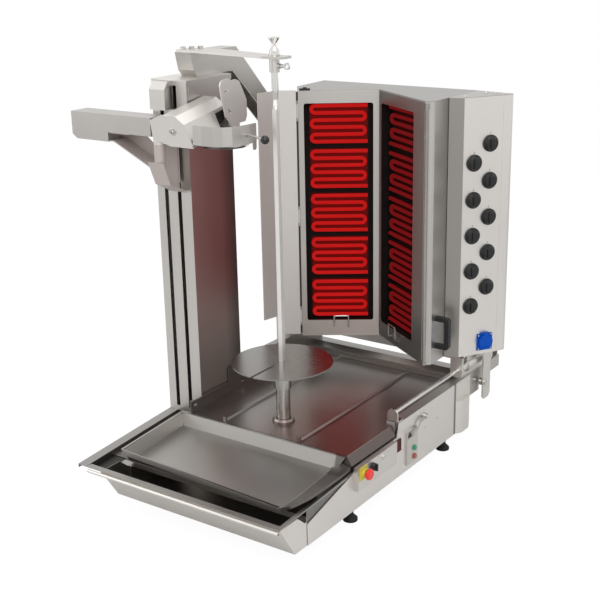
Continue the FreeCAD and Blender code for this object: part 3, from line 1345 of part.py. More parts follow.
def make_display():
    frame = box(RIM_X, 532.0, 127.0, RIM_X + 3, 572.0, 163.0)
    return frame.cut(box(RIM_X + 2, 533.5, 128.5, RIM_X + 4, 570.5, 161.5))


STRIP_Y = (602.0, 662.0)
STRIP_Z = (66.0, 166.0)
BTN_R = 8.0
BTN_Y = 642.0
BTN_Z = (108.0, 82.0)


def make_button_strip():
    plate = box(RIM_X, STRIP_Y[0], STRIP_Z[0], RIM_X + 5, STRIP_Y[1], STRIP_Z[1])
    plate = plate.cut(box(RIM_X + 3, 606.0, 146.0, RIM_X + 6, 640.0, 162.0))
    for z in BTN_Z:
        plate = plate.cut(cyl(RIM_X - 1, BTN_Y, z, BTN_R + 0.35, 10, V(1, 0, 0)))
    return plate


def make_button(z):
    stem = cyl(SIDE_X + 0.5, BTN_Y, z, BTN_R, 10.0, V(1, 0, 0))
    crown = Part.makeCone(BTN_R, BTN_R - 1.2, 1.2, V(RIM_X + 8.5, BTN_Y, z), V(1, 0, 0))
    return fuse([stem, crown])


LATCH_AT = (701.0, 184.0)
LATCH_X = RIM_X + 3.0


def make_latch():
    """Seat and pin of the lever latch on the side panel."""
    y, z = LATCH_AT
    base = box(RIM_X, y - 12, z - 12, LATCH_X, y + 12, z + 12)
    pin = cyl(LATCH_X, y, z, 4.0, 9.5, V(1, 0, 0))
    return fuse([base, pin])


def make_latch_wing():
    """Cranked lever of the latch."""
    y, z = LATCH_AT
    x0 = LATCH_X + 0.3
    hub = cyl(x0, y, z, 8.5, 8.0, V(1, 0, 0))
    path = [(y, z), (y - 34, z - 7), (y - 48, z - 20), (y - 82, z - 24)]
    lever = prism_x(strip(path, 8.0), x0 + 3, x0 + 7)
    tip = prism_x(strip([(y - 76, z - 23), (y - 86, z - 24)], 8.0), x0 + 3, x0 + 11)
    out = fuse([hub, lever, tip])
    return out.cut(cyl(x0 - 1, y, z, 4.06, 12.0, V(1, 0, 0)))


def make_inlet_gland():
    nut = hex_bolt(-260.0, CHASSIS_Y1, 90.0, V(0, 1, 0), r=16.0, head=7.0)
    thread = cyl(-260.0, CHASSIS_Y1 - 14, 90.0, 12.0, 16.0, V(0, 1, 0))
    dome = Part.makeCone(13.0, 9.5, 12.0, V(-260.0, CHASSIS_Y1 + 7, 90.0), V(0, 1, 0))
    out = fuse([nut, thread, dome])
    return out.cut(cyl(-260.0, CHASSIS_Y1 - 20, 90.0, 6.5, 60.0, V(0, 1, 0)))


# ---- build --------------------------------------------------------------
def knob_name(i):
    return "zone_knob_%d" % (i + 1)


def build():
    save("chassis", fuse([make_chassis(), make_inlet_gland()]))
    save("feet", make_feet())
    save("side_panel_right", make_side_panel())
    save("rear_frame", fuse([make_beam_right(), make_beam_left(), make_rear_tie(), make_gusset()]))
    save("rim_frame", fuse([make_rim(), make_left_channel()]))
    save("tub", fuse([make_deck(), make_floor_ribs(), make_rear_beam(), make_floor_collar()]))
    save("carving_pan", make_pan())
    save("grease_drawer", fuse([make_drawer(), make_drawer_lip(), make_drawer_lip_web()]))
    save("spit_gearbox", make_gearbox())
    save("drive_tube", make_drive_tube())
    save("meat_disc", make_disc())
    save("spit_bar", make_spit_bar())
    save("bearing_plate", fuse([make_bearing_plate(), make_bush(), make_bearing_bolts()]))
    save("top_arm", fuse([make_top_arm(), make_rear_post()]))
    save("lift_pin", make_lift_pin())
    save("thumb_screw", make_thumb_screw())
    save("column", fuse([make_column(), make_column_cap(), make_cover_box()]))
    save("lift_guides", make_screw_bearings())
    save("lead_screw", make_lead_screw())
    save("lift_block", make_lift_block())
    save("head_bracket", fuse([make_head_bracket(), make_brace()]))
    save("counter_arm", make_arm_box())
    save("head_housing", fuse([make_housing(), make_end_plate(), make_pivot_tube(), make_tilt_plates()]))
    save("blade_guard", fuse([make_blade_guard(), make_handle_rod()]))
    save("blade", make_blade())
    save("blade_motor", make_blade_motor())
    save("swing_ball", make_handle_ball())
    save("heater_shell", fuse([make_heater_shell(), make_heater_roof()]))
    save("edge_rod", fuse([make_edge_rod(), make_rod_brackets()]))
    save("panel_left", fuse([make_panel_frame(-1, LEFT_END), make_wire_handle(-1), make_shield_pins()]))
    save("panel_right", fuse([make_panel_frame(1, RIGHT_END), make_wire_handle(1)]))
    save("heat_boxes", Part.makeCompound([make_recess(-1), make_recess(1)]))
    save("heating_elements", Part.makeCompound([make_elements(-1), make_elements(1)]))
    save("shield_left", make_shield())
    save("cabinet_grip", make_grip())
    save("control_box", fuse([make_control_box(), make_box_cap()] + make_regulators()))
    for i, (s, z) in enumerate(knob_spots()):
        save(knob_name(i), make_knob(s, z))
    save("service_socket", make_socket())
    save("socket_lid", make_socket_lid())
    save("guide_bar", fuse([make_guide_bar()] + make_bar_tabs()))
    save("carriage", fuse([make_carriage(), make_clamp_plate()]))
    save("clamp_screw", make_clamp_screw())
    save("control_housing", fuse([make_control_housing(), make_key_switch()]))
    save("stop_plate", make_estop_base())
    save("stop_button", make_estop())
    save("spit_selector", make_selector())
    save("display", make_display())
    save("button_strip", make_button_strip())
    save("start_button", make_button(BTN_Z[0]))
    save("rest_button", make_button(BTN_Z[1]))
    save("latch_wing", make_latch_wing())


build()
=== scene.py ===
"""Dresses the vertical rotisserie broiler: finishes, small formed pieces, studio and camera."""
import logging
import math
from dataclasses import dataclass
from enum import Enum
from typing import Union

import bmesh
import bpy
from mathutils import Matrix, Vector


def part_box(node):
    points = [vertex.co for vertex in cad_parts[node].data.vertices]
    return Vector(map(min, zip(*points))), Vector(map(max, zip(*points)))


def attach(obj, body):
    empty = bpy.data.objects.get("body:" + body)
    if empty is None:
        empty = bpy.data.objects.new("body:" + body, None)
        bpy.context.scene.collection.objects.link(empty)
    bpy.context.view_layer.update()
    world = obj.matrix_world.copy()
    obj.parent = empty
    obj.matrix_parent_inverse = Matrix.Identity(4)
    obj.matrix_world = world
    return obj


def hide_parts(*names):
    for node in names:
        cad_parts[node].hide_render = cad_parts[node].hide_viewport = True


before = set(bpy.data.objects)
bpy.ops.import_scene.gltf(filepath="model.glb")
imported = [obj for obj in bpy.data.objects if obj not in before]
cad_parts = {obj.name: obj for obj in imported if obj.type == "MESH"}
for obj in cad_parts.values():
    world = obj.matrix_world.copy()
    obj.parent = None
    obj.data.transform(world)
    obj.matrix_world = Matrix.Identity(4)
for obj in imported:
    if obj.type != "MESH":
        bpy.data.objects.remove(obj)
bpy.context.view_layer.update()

LOG = logging.getLogger("broiler")
MM = 0.001
METRE = 1000.0
UP = Vector((0.0, 0.0, 1.0))
EAST = Vector((1.0, 0.0, 0.0))
Colour = tuple[float, float, float]
Place = tuple[float, float, float]
Operand = Union["Sock", float]

# The heater panels meet in a V: its fold, half its angle and the rows of elements.
FOLD_X = 45.0 * MM
FOLD_Y = 937.0 * MM
HALF_ANGLE = math.radians(33.0)
ROW_PITCH = 135.3


class Grain(Enum):
    """Direction that the sheet was brushed in, as noise stretch per metre."""

    ALONG_X = (6.0, 900.0, 900.0)
    ALONG_Y = (900.0, 6.0, 900.0)
    ALONG_Z = (900.0, 900.0, 6.0)
    TURNED = (160.0, 160.0, 160.0)


class Ray(Enum):
    """Ray kinds that see the white studio instead of its light."""

    CAMERA = "Is Camera Ray"
    GLOSSY = "Is Glossy Ray"
    TRANSMISSION = "Is Transmission Ray"


# ---- shader maths -------------------------------------------------------
class Sock:
    """A shader value that takes part in Python expressions."""

    def __init__(self, graph: "Graph", link: bpy.types.NodeSocket) -> None:
        """Wraps one output socket.

        Args:
            graph: the node graph that owns the socket.
            link: the socket.
        """
        self.graph = graph
        self.link = link

    def _math(self, operation: str, first: Operand, second: Operand) -> "Sock":
        """Adds a Math node.

        Args:
            operation: the node's operation.
            first: left operand.
            second: right operand.

        Returns:
            The result.
        """
        return self.graph.add("ShaderNodeMath", {"operation": operation}, {0: first, 1: second})

    def __add__(self, other: Operand) -> "Sock":
        """Sum."""
        return self._math("ADD", self, other)

    __radd__ = __add__

    def __sub__(self, other: Operand) -> "Sock":
        """Difference."""
        return self._math("SUBTRACT", self, other)

    def __rsub__(self, other: Operand) -> "Sock":
        """Reflected difference."""
        return self._math("SUBTRACT", other, self)

    def __mul__(self, other: Operand) -> "Sock":
        """Product."""
        return self._math("MULTIPLY", self, other)

    def __truediv__(self, other: Operand) -> "Sock":
        """Quotient."""
        return self._math("DIVIDE", self, other)

    def size(self) -> "Sock":
        """Value without its sign."""
        return self._math("ABSOLUTE", self, 0.0)

    def swing(self, width: float) -> "Sock":
        """Noise centred on zero.

        Args:
            width: the distance from its lowest to its highest value.

        Returns:
            The centred noise.
        """
        return (self - 0.5) * width

    def fraction(self) -> "Sock":
        """Part after the point."""
        return self._math("FRACT", self, 0.0)

    def upto(self, other: Operand) -> "Sock":
        """Smaller of the two."""
        return self._math("MINIMUM", self, other)

    def atleast(self, other: Operand) -> "Sock":
        """Larger of the two."""
        return self._math("MAXIMUM", self, other)


class Graph:
    """One material's or world's node graph."""

    def __init__(self, tree: bpy.types.NodeTree) -> None:
        """Clears the tree.

        Args:
            tree: the node tree to fill.
        """
        self.tree = tree
        tree.nodes.clear()

    def add(
        self,
        kind: str,
        settings: dict[str, object] | None = None,
        inputs: dict[str | int, object] | None = None,
        out: str | int = 0,
    ) -> Sock:
        """Adds a node.

        Args:
            kind: the node's type.
            settings: attributes set first.
            inputs: values or links by socket name or number.
            out: the output that is returned.

        Returns:
            The chosen output.
        """
        node = self.tree.nodes.new(kind)
        for key, value in (settings or {}).items():
            setattr(node, key, value)
        for key, value in (inputs or {}).items():
            socket = node.inputs[key]
            if isinstance(value, Sock):
                self.tree.links.new(value.link, socket)
            elif isinstance(value, tuple) and len(value) == 3 and socket.type == "RGBA":
                socket.default_value = (*value, 1.0)
            else:
                socket.default_value = value
        if not node.outputs:
            return Sock(self, node.inputs[0])
        return Sock(self, node.outputs[out])

    def mix(self, factor: Operand, low: object, high: object) -> Sock:
        """Mixes two colours.

        Args:
            factor: 0 gives low, 1 gives high.
            low: first colour.
            high: second colour.

        Returns:
            The mixed colour.
        """
        return self.add(
            "ShaderNodeMix", {"data_type": "RGBA"}, {0: factor, 6: low, 7: high}, out=2
        )

    def noise(self, stretch: Place, detail: float = 3.0) -> Sock:
        """Noise between 0 and 1 over the object.

        Args:
            stretch: scale for x, y and z, per metre.
            detail: octaves.

        Returns:
            The noise value.
        """
        place = self.add("ShaderNodeTexCoord", out="Object")
        place = self.add("ShaderNodeMapping", {}, {"Vector": place, "Scale": stretch})
        return self.add(
            "ShaderNodeTexNoise",
            {"noise_dimensions": "3D"},
            {"Vector": place, "Scale": 1.0, "Detail": detail, "Roughness": 0.55},
        )

    def bump(self, height: Sock, strength: float, distance: float = 0.2 * MM) -> Sock:
        """Bumps the surface.

        Args:
            height: the height map.
            strength: how strongly it shows.
            distance: height of the highest point.

        Returns:
            The normal.
        """
        return self.add(
            "ShaderNodeBump", {}, {"Strength": strength, "Distance": distance, "Height": height}
        )

    def surface(self, inputs: dict[str | int, object]) -> Sock:
        """Adds the surface shader.

        Args:
            inputs: values or links by socket name.

        Returns:
            The shader socket.
        """
        return self.add("ShaderNodeBsdfPrincipled", {}, inputs)

    def clamp(self, value: Sock) -> Sock:
        """Keeps a value between 0 and 1.

        Args:
            value: the value.

        Returns:
            The clamped value.
        """
        return value.atleast(0.0).upto(1.0)

    def object_axis(self, axis: str) -> Sock:
        """One object coordinate in metres.

        Args:
            axis: X, Y or Z.

        Returns:
            The coordinate.
        """
        place = self.add("ShaderNodeTexCoord", out="Object")
        return self.add("ShaderNodeSeparateXYZ", {}, {"Vector": place}, out=axis)

    def past(self, plane: "Plane") -> Sock:
        """How far an object point lies past a plane.

        Args:
            plane: the plane.

        Returns:
            0 before the plane and 1 past its fade.
        """
        place = self.add("ShaderNodeTexCoord", out="Object")
        reach = self.add(
            "ShaderNodeVectorMath",
            {"operation": "DOT_PRODUCT"},
            {0: place, 1: plane.normal},
            out="Value",
        )
        return self.clamp((reach - plane.start) / plane.fade)

    def step(self, value: Sock) -> Sock:
        """Turns on within a millimetre past zero.

        Args:
            value: a length in metres.

        Returns:
            0 below zero and 1 from a millimetre up.
        """
        return self.clamp(value * METRE)


def new_graph(name: str) -> tuple[bpy.types.Material, Graph]:
    """Makes a material.

    Args:
        name: the material's name.

    Returns:
        The material and its empty graph.
    """
    material = bpy.data.materials.new(name)
    material.use_nodes = True
    return material, Graph(material.node_tree)


# ---- finishes -----------------------------------------------------------
@dataclass(frozen=True)
class Finish:
    """A finish that can be put on pieces."""

    name: str

    def shader(self, graph: Graph) -> Sock:
        """Builds the surface shader.

        Args:
            graph: the material's graph.

        Returns:
            The shader socket.
        """
        raise NotImplementedError

    def material(self) -> bpy.types.Material:
        """Returns the finish's material, made once."""
        made = bpy.data.materials.get(self.name)
        if made:
            return made
        material, graph = new_graph(self.name)
        surface = self.shader(graph)
        graph.add("ShaderNodeOutputMaterial", {}, {"Surface": surface})
        return material


@dataclass(frozen=True)
class Plane:
    """A plane that bounds a region of painted tone, in metres."""

    normal: Place
    start: float
    fade: float = 1.0 * MM


class Side(Enum):
    """The side of an axis-aligned plane that gets the painted tone."""

    RIGHT = (1.0, 0.0, 0.0)
    LEFT = (-1.0, 0.0, 0.0)
    BEHIND = (0.0, 1.0, 0.0)
    BEFORE = (0.0, -1.0, 0.0)
    ABOVE = (0.0, 0.0, 1.0)
    BELOW = (0.0, 0.0, -1.0)

    def of(self, place: float, fade: float = 1.0) -> Plane:
        """Plane across the side's axis.

        Args:
            place: where it crosses the axis, in millimetres.
            fade: width of the fade in millimetres.

        Returns:
            The plane.
        """
        return Plane(self.value, sum(self.value) * place * MM, fade * MM)


@dataclass(frozen=True)
class PaintedTone:
    """A region of sheet with another tone, painted in for shade, light and reflection."""

    tone: Colour
    within: tuple[Plane, ...]


@dataclass(frozen=True)
class BrushedSteel(Finish):
    """Satin brushed stainless sheet with regions of painted light and shade."""

    tone: Colour = (0.62, 0.61, 0.59)
    grain: Grain = Grain.ALONG_X
    rough: float = 0.38
    cloud: float = 0.06
    painted_tones: tuple[PaintedTone, ...] = ()
    metal: float = 1.0

    def paint_over(self, graph: Graph, colour: Sock) -> Sock:
        """Lays the painted light and shade over the plain sheet.

        Args:
            graph: the material's graph.
            colour: the plain sheet's colour.

        Returns:
            The colour with painted light and shade.
        """
        for painted_patch in self.painted_tones:
            part = graph.past(painted_patch.within[0])
            for plane in painted_patch.within[1:]:
                part = part * graph.past(plane)
            colour = graph.mix(part, colour, painted_patch.tone)
        return colour

    def shader(self, graph: Graph) -> Sock:
        """Builds the brushed metal."""
        lines = graph.noise(self.grain.value, 3.0)
        marks = graph.noise((5.0, 5.0, 5.0), 4.0)
        dark = tuple(c * (1.0 - self.cloud) for c in self.tone)
        light = tuple(min(c * (1.0 + self.cloud), 1.0) for c in self.tone)
        colour = graph.mix(marks * 0.55 + lines * 0.45, dark, light)
        colour = self.paint_over(graph, colour)
        rough = self.rough + lines.swing(0.08) + marks.swing(0.07)
        return graph.surface(
            {
                "Base Color": colour,
                "Roughness": rough,
                "Metallic": self.metal,
                "Normal": graph.bump(lines, 0.05),
            }
        )


@dataclass(frozen=True)
class TurnedSteel(Finish):
    """Bright turned or ground bar."""

    tone: Colour = (0.74, 0.73, 0.71)
    rough: float = 0.16
    grain: Grain = Grain.ALONG_Z

    def shader(self, graph: Graph) -> Sock:
        """Builds the bright metal."""
        lines = graph.noise(self.grain.value, 3.0)
        marks = graph.noise((24.0, 24.0, 24.0), 3.0)
        colour = graph.mix(marks, tuple(c * 0.90 for c in self.tone), self.tone)
        rough = self.rough + lines.swing(0.10) + marks.swing(0.06)
        return graph.surface({"Base Color": colour, "Roughness": rough, "Metallic": 1.0})


@dataclass(frozen=True)
class Moulded(Finish):
    """Moulded plastic or rubber with a fine spark-eroded texture."""

    tone: Colour = (0.02, 0.02, 0.022)
    rough: float = 0.42
    speckle: float = 900.0
    coat: float = 0.0
    shine: float = 0.35

    def shader(self, graph: Graph) -> Sock:
        """Builds the plastic."""
        grain = graph.noise((self.speckle,) * 3, 2.0)
        dust = graph.noise((40.0, 40.0, 40.0), 4.0)
        lifted = tuple(min(c * 1.25 + 0.004, 1.0) for c in self.tone)
        colour = graph.mix(dust, self.tone, lifted)
        rough = self.rough + dust.swing(0.14) + grain.swing(0.08)
        return graph.surface(
            {
                "Base Color": colour,
                "Roughness": rough,
                "Normal": graph.bump(grain, 0.15),
                "Specular IOR Level": self.shine,
                "Coat Weight": self.coat,
                "Coat Roughness": 0.12,
            }
        )


@dataclass(frozen=True)
class GlowingSheath(Finish):
    """Heating element at working heat, its glow in the right bank dimmed as painted shade."""

    stronger_red: Colour = (0.54, 0.009, 0.008)
    softer_red: Colour = (0.44, 0.006, 0.006)
    shaded_right_glow: Colour = (0.145, 0.004, 0.005)
    cold: Colour = (0.02, 0.002, 0.002)

    def shader(self, graph: Graph) -> Sock:
        """Builds the glowing rod."""
        patches = graph.noise((9.0, 9.0, 30.0), 3.0)
        scale = graph.noise((700.0, 700.0, 700.0), 2.0)
        # painted shade: the right bank's glow is dimmed
        right = graph.step(graph.object_axis("X") - FOLD_X)
        glow = graph.mix(right, graph.mix(patches, self.softer_red, self.stronger_red), self.shaded_right_glow)
        rough = 0.6 + scale.swing(0.2)
        return graph.surface(
            {
                "Base Color": self.cold,
                "Roughness": rough,
                "Specular IOR Level": 0.03,
                "Emission Color": glow,
                "Emission Strength": 1.0,
            }
        )


@dataclass(frozen=True)
class FiredBox(Finish):
    """Black fired lining, with a painted dim red glow behind each element: the elements' light
    painted on as emission.
    """

    tone: Colour = (0.006, 0.004, 0.004)
    ash: Colour = (0.016, 0.012, 0.011)
    painted_element_light: Colour = (0.105, 0.0004, 0.0003)
    right_bank_shade: float = 0.85
    back: float = 36.0 * MM
    near: float = 30.0 * MM
    far: float = 207.0 * MM
    low_row: float = 416.3 * MM
    half_height: float = 61.0 * MM
    fade: float = 7.0 * MM

    def heat(self, graph: Graph) -> Sock:
        """How strongly the painted light of the elements shows on the lining, cut back as painted
        shade in the right bank.

        Args:
            graph: the material's graph.

        Returns:
            A factor between 0 and 1.
        """
        lean, slant = math.cos(HALF_ANGLE), math.sin(HALF_ANGLE)
        sideways = graph.object_axis("X") - FOLD_X
        deep = graph.object_axis("Y") - FOLD_Y
        along = sideways.size() * lean - deep * slant
        out = (sideways.size() * slant + deep * lean) * -1.0
        pitch = ROW_PITCH * MM
        rows = (graph.object_axis("Z") - self.low_row) / pitch + 0.5
        off_row = (rows.fraction() - 0.5).size() * pitch
        inside = graph.clamp((self.half_height - off_row) / self.fade)
        inside = inside * graph.clamp((along - self.near) / self.fade)
        inside = inside * graph.clamp((self.far - along) / self.fade)
        inside = inside * graph.step(out + self.back)
        # painted shade: less painted light on the right bank's lining
        return inside * (1.0 - graph.step(sideways) * self.right_bank_shade)

    def shader(self, graph: Graph) -> Sock:
        """Builds the fired lining."""
        soot = graph.noise((30.0, 30.0, 30.0), 5.0)
        colour = graph.mix(soot, self.tone, self.ash)
        # painted light: the elements' red light painted on the lining as emission
        glow = graph.mix(self.heat(graph), (0.0, 0.0, 0.0), self.painted_element_light)
        rough = 0.6 + soot.swing(0.3)
        return graph.surface(
            {
                "Base Color": colour,
                "Roughness": rough,
                "Normal": graph.bump(soot, 0.2, 0.6 * MM),
                "Specular IOR Level": 0.06,
                "Emission Color": glow,
                "Emission Strength": 1.0,
            }
        )


STEEL: Colour = (0.63, 0.605, 0.575)


def shade(amount: float) -> Colour:
    """Sheet tone at a painted brightness: the one steel made lighter and darker per part, as
    painted light and shade.

    Args:
        amount: brightness against the plain sheet.

    Returns:
        The tone.
    """
    return tuple(c * amount for c in STEEL)


def sheet(amount: float, grain: Grain = Grain.ALONG_X, rough: float = 0.38) -> BrushedSteel:
    """Brushed sheet at a painted brightness, for painted light and shade on a part.

    Args:
        amount: brightness against the plain sheet.
        grain: brushing direction.
        rough: roughness.

    Returns:
        The finish.
    """
    name = f"sheet_{grain.name.lower()}_{round(amount * 100)}_{round(rough * 100)}"
    return BrushedSteel(name, shade(amount), grain, rough)


TURNED = TurnedSteel("bright_turned_steel")
DULL_TURNED = TurnedSteel("dull_turned_steel", tone=(0.50, 0.49, 0.47), rough=0.26)
# EDGE_ROD is the turned steel darkened as painted shade, and SPIT is the turned steel brightened
# as painted light.
EDGE_ROD = TurnedSteel("edge_rod_steel", tone=(0.37, 0.36, 0.34), rough=0.26)
SPIT = TurnedSteel("ground_spit_bar", tone=(0.90, 0.87, 0.84), rough=0.34)
BRIGHT_Y = TurnedSteel("bright_bar_along_y", tone=(0.66, 0.64, 0.61), grain=Grain.ALONG_Y)
SCREW = TurnedSteel("zinc_screw", tone=(0.52, 0.51, 0.49), rough=0.28, grain=Grain.TURNED)
BLACK = Moulded("black_moulding", tone=(0.012, 0.012, 0.013))
BLACK_GLOSS = Moulded("black_gloss_ball", tone=(0.008, 0.008, 0.008), rough=0.2, coat=0.25)
RUBBER = Moulded("foot_rubber", tone=(0.011, 0.011, 0.011), rough=0.62, speckle=500.0)
RED = Moulded("stop_red", tone=(0.78, 0.02, 0.015), rough=0.28, coat=0.4)
MUTED_RED = Moulded("rest_red", tone=(0.34, 0.08, 0.06), rough=0.35, coat=0.2)
YELLOW = Moulded("ring_plate_yellow", tone=(0.55, 0.48, 0.06), rough=0.45)
GREEN = Moulded("start_green", tone=(0.02, 0.24, 0.11), rough=0.30, coat=0.3)
BLUE = Moulded("socket_blue", tone=(0.001, 0.07, 0.44), rough=0.5, shine=0.12)
WINDOW = Moulded("display_window_red", tone=(0.075, 0.022, 0.020), rough=0.5, shine=0.1)
CAST = Moulded("gear_housing_paint", tone=(0.05, 0.05, 0.055), rough=0.55, speckle=300.0)
# Dark print for the knob marks, and painted shade for the strip behind the hinge gap.
DARK_PRINT_AND_SHADE = Moulded("dark_liner", tone=(0.045, 0.032, 0.028), rough=0.7)
GLOW = GlowingSheath("element_glow")
FIRED = FiredBox("fired_lining")
KNIFE = TurnedSteel("ground_knife", tone=(0.62, 0.62, 0.61), rough=0.20, grain=Grain.TURNED)


def column_finish() -> BrushedSteel:
    """Column, with painted shade and a painted red reflection of the elements on the side that
    faces the cabinet, and painted light on its top.
    """
    side = Side.RIGHT.of(-213.6, 0.3)
    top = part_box("column")[1][2] / MM
    painted_tones = (
        # Painted shade on the right face, a painted red reflection across its middle, deeper
        # painted shade towards the rear, and painted light high on the right face and on the top.
        PaintedTone((0.47, 0.42, 0.39), (side,)),
        PaintedTone(
            (0.54, 0.325, 0.31),
            (side, Side.ABOVE.of(320.0, 300.0), Side.BELOW.of(1060.0, 100.0)),
        ),
        PaintedTone((0.24, 0.215, 0.20), (side, Side.BEHIND.of(506.0, 50.0))),
        PaintedTone(shade(0.86), (side, Side.ABOVE.of(980.0, 60.0))),
        PaintedTone(shade(1.1), (Side.ABOVE.of(top - 2.0),)),
    )
    return BrushedSteel("column_sheet", shade(0.91), Grain.ALONG_Z, painted_tones=painted_tones)


def tub_finish() -> BrushedSteel:
    """Tub, with a painted red reflection of the elements on the floor's right and painted shade
    on its right slope.
    """
    # Painted shade and a painted red reflection of the elements on the floor's right, stronger
    # towards its middle.
    softer_red = PaintedTone(
        (0.27, 0.205, 0.19), (Side.RIGHT.of(-60.0, 150.0), Side.BEFORE.of(980.0, 300.0))
    )
    stronger_red = PaintedTone(
        (0.20, 0.128, 0.118),
        (Side.RIGHT.of(-20.0, 110.0), Side.BEHIND.of(440.0, 200.0), Side.BEFORE.of(860.0, 200.0)),
    )
    # Painted shade on the right slope.
    slope = PaintedTone((0.14, 0.115, 0.108), (Side.RIGHT.of(317.2, 0.5),))
    painted_tones = (softer_red, stronger_red, slope)
    return BrushedSteel("tub_sheet", shade(0.50), Grain.ALONG_Y, rough=0.32, painted_tones=painted_tones)


def shell_finish() -> BrushedSteel:
    """Cabinet shell, with painted shade darkening its roof."""
    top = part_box("heater_shell")[1][2] / MM
    roof = PaintedTone(shade(0.54), (Side.ABOVE.of(top - 2.0),))
    return BrushedSteel("shell_sheet", shade(0.80), Grain.ALONG_Z, painted_tones=(roof,))


def box_finish() -> BrushedSteel:
    """Control box, with painted shade on its turned-back side and on its cap."""
    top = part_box("control_box")[1][2] / MM
    side = PaintedTone((0.30, 0.285, 0.265), (Side.LEFT.of(344.8),))
    cap = PaintedTone((0.42, 0.405, 0.385), (Side.ABOVE.of(top - 2.0),))
    return BrushedSteel("control_box_sheet", shade(1.2), Grain.ALONG_Z, painted_tones=(side, cap))


def drawer_finish() -> BrushedSteel:
    """Grease drawer, with painted shade inside, behind its sloping front."""
    low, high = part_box("grease_drawer")
    front_y, front_z, run, skin = 1.0 * MM, 143.0 * MM, 60.0 * MM, 1.0 * MM
    rise = front_z - low[2]
    size = math.hypot(run, rise)
    inner = Plane(
        (0.0, rise / size, run / size), (front_y * rise + front_z * run) / size + skin
    )
    # Painted shade inside the drawer.
    inside = PaintedTone((0.34, 0.315, 0.28), (inner, Side.LEFT.of(high[0] / MM - 0.6, 0.3)))
    return BrushedSteel("drawer_sheet", shade(1.14), painted_tones=(inside,))


# Painted shade for the deep channel beside the carving pan.
CHANNEL_SHADE: Colour = (0.17, 0.16, 0.145)


def rim_finish() -> BrushedSteel:
    """Rim frame, with painted shade in the channel beside the carving pan."""
    beside = (Side.RIGHT.of(-305.6), Side.LEFT.of(-238.5), Side.BEHIND.of(18.2, 0.2))
    return BrushedSteel("rim_sheet", shade(0.54), painted_tones=(PaintedTone(CHANNEL_SHADE, beside),))


def pan_finish() -> BrushedSteel:
    """Carving pan, with painted shade on the flange at its right."""
    flange = PaintedTone((0.17, 0.155, 0.145), (Side.RIGHT.of(284.0, 6.0),))
    return BrushedSteel("pan_sheet", shade(0.64), painted_tones=(flange,))


def chassis_finish() -> BrushedSteel:
    """Chassis, with painted shade in the channel beside the carving pan."""
    beside = (
        Side.RIGHT.of(-305.6, 0.3),
        Side.LEFT.of(-238.3, 0.3),
        Side.BEFORE.of(381.0),
        Side.ABOVE.of(126.0),
    )
    return BrushedSteel("chassis_sheet", shade(0.8), painted_tones=(PaintedTone(CHANNEL_SHADE, beside),))


def panel_finish() -> BrushedSteel:
    """Right side panel, with the shadow line in front of its corner post."""
    line = PaintedTone((0.24, 0.225, 0.21), (Side.BEHIND.of(888.0, 5.0), Side.BEFORE.of(902.5)))
    return BrushedSteel("side_sheet", shade(1.15), Grain.ALONG_Y, painted_tones=(line,))


def strip_finish() -> BrushedSteel:
    """Button strip, with a slot-shaped patch of painted shade behind the latch's end."""
    slot = PaintedTone(
        (0.035, 0.016, 0.013),
        (
            Side.BEHIND.of(608.0, 0.3),
            Side.BEFORE.of(636.0, 0.3),
            Side.ABOVE.of(147.0, 0.3),
            Side.BELOW.of(161.0, 0.3),
        ),
    )
    return BrushedSteel("strip_sheet", shade(0.95), Grain.ALONG_Z, painted_tones=(slot,))


def carriage_finish() -> BrushedSteel:
    """Carriage, with its front plate in shade."""
    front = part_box("carriage")[0][1] / MM
    plate = PaintedTone((0.20, 0.19, 0.175), (Side.BEFORE.of(front + 4.0),))
    return BrushedSteel("carriage_sheet", shade(1.05), Grain.ALONG_Y, painted_tones=(plate,))


# Painted shade: the plate under the rim is darkened for the shade it lies in.
DARK_SHEET = BrushedSteel("greasy_sheet", (0.045, 0.041, 0.037))
# Painted shade: the end of the tub's right slope is darkened.
SLOPE_SHEET = BrushedSteel("slope_sheet", (0.21, 0.190, 0.178), Grain.ALONG_Y)
# Painted shade: the wedge beside the side panel is darkened.
FOLD_SHEET = BrushedSteel("fold_sheet", shade(0.34), Grain.ALONG_Y, rough=0.5, metal=0.6)
# Painted light and shade: the tab, shield and housing sheets are the steel at tones set for how
# light falls on them.
TAB_SHEET = BrushedSteel("tab_sheet", shade(0.7), Grain.ALONG_Z, rough=0.5, metal=0.7)
SHIELD = BrushedSteel("shield_sheet", shade(1.05), Grain.ALONG_Z, rough=0.5, metal=0.55)
HOUSING = BrushedSteel("housing_sheet", shade(1.08), Grain.ALONG_Y, rough=0.42, metal=0.8)
# Painted reflection: the bracket's reddish tone stands in for the elements' red mirrored in it.
BRACKET = BrushedSteel("bracket_sheet", (0.50, 0.44, 0.415), rough=0.5, metal=0.35)

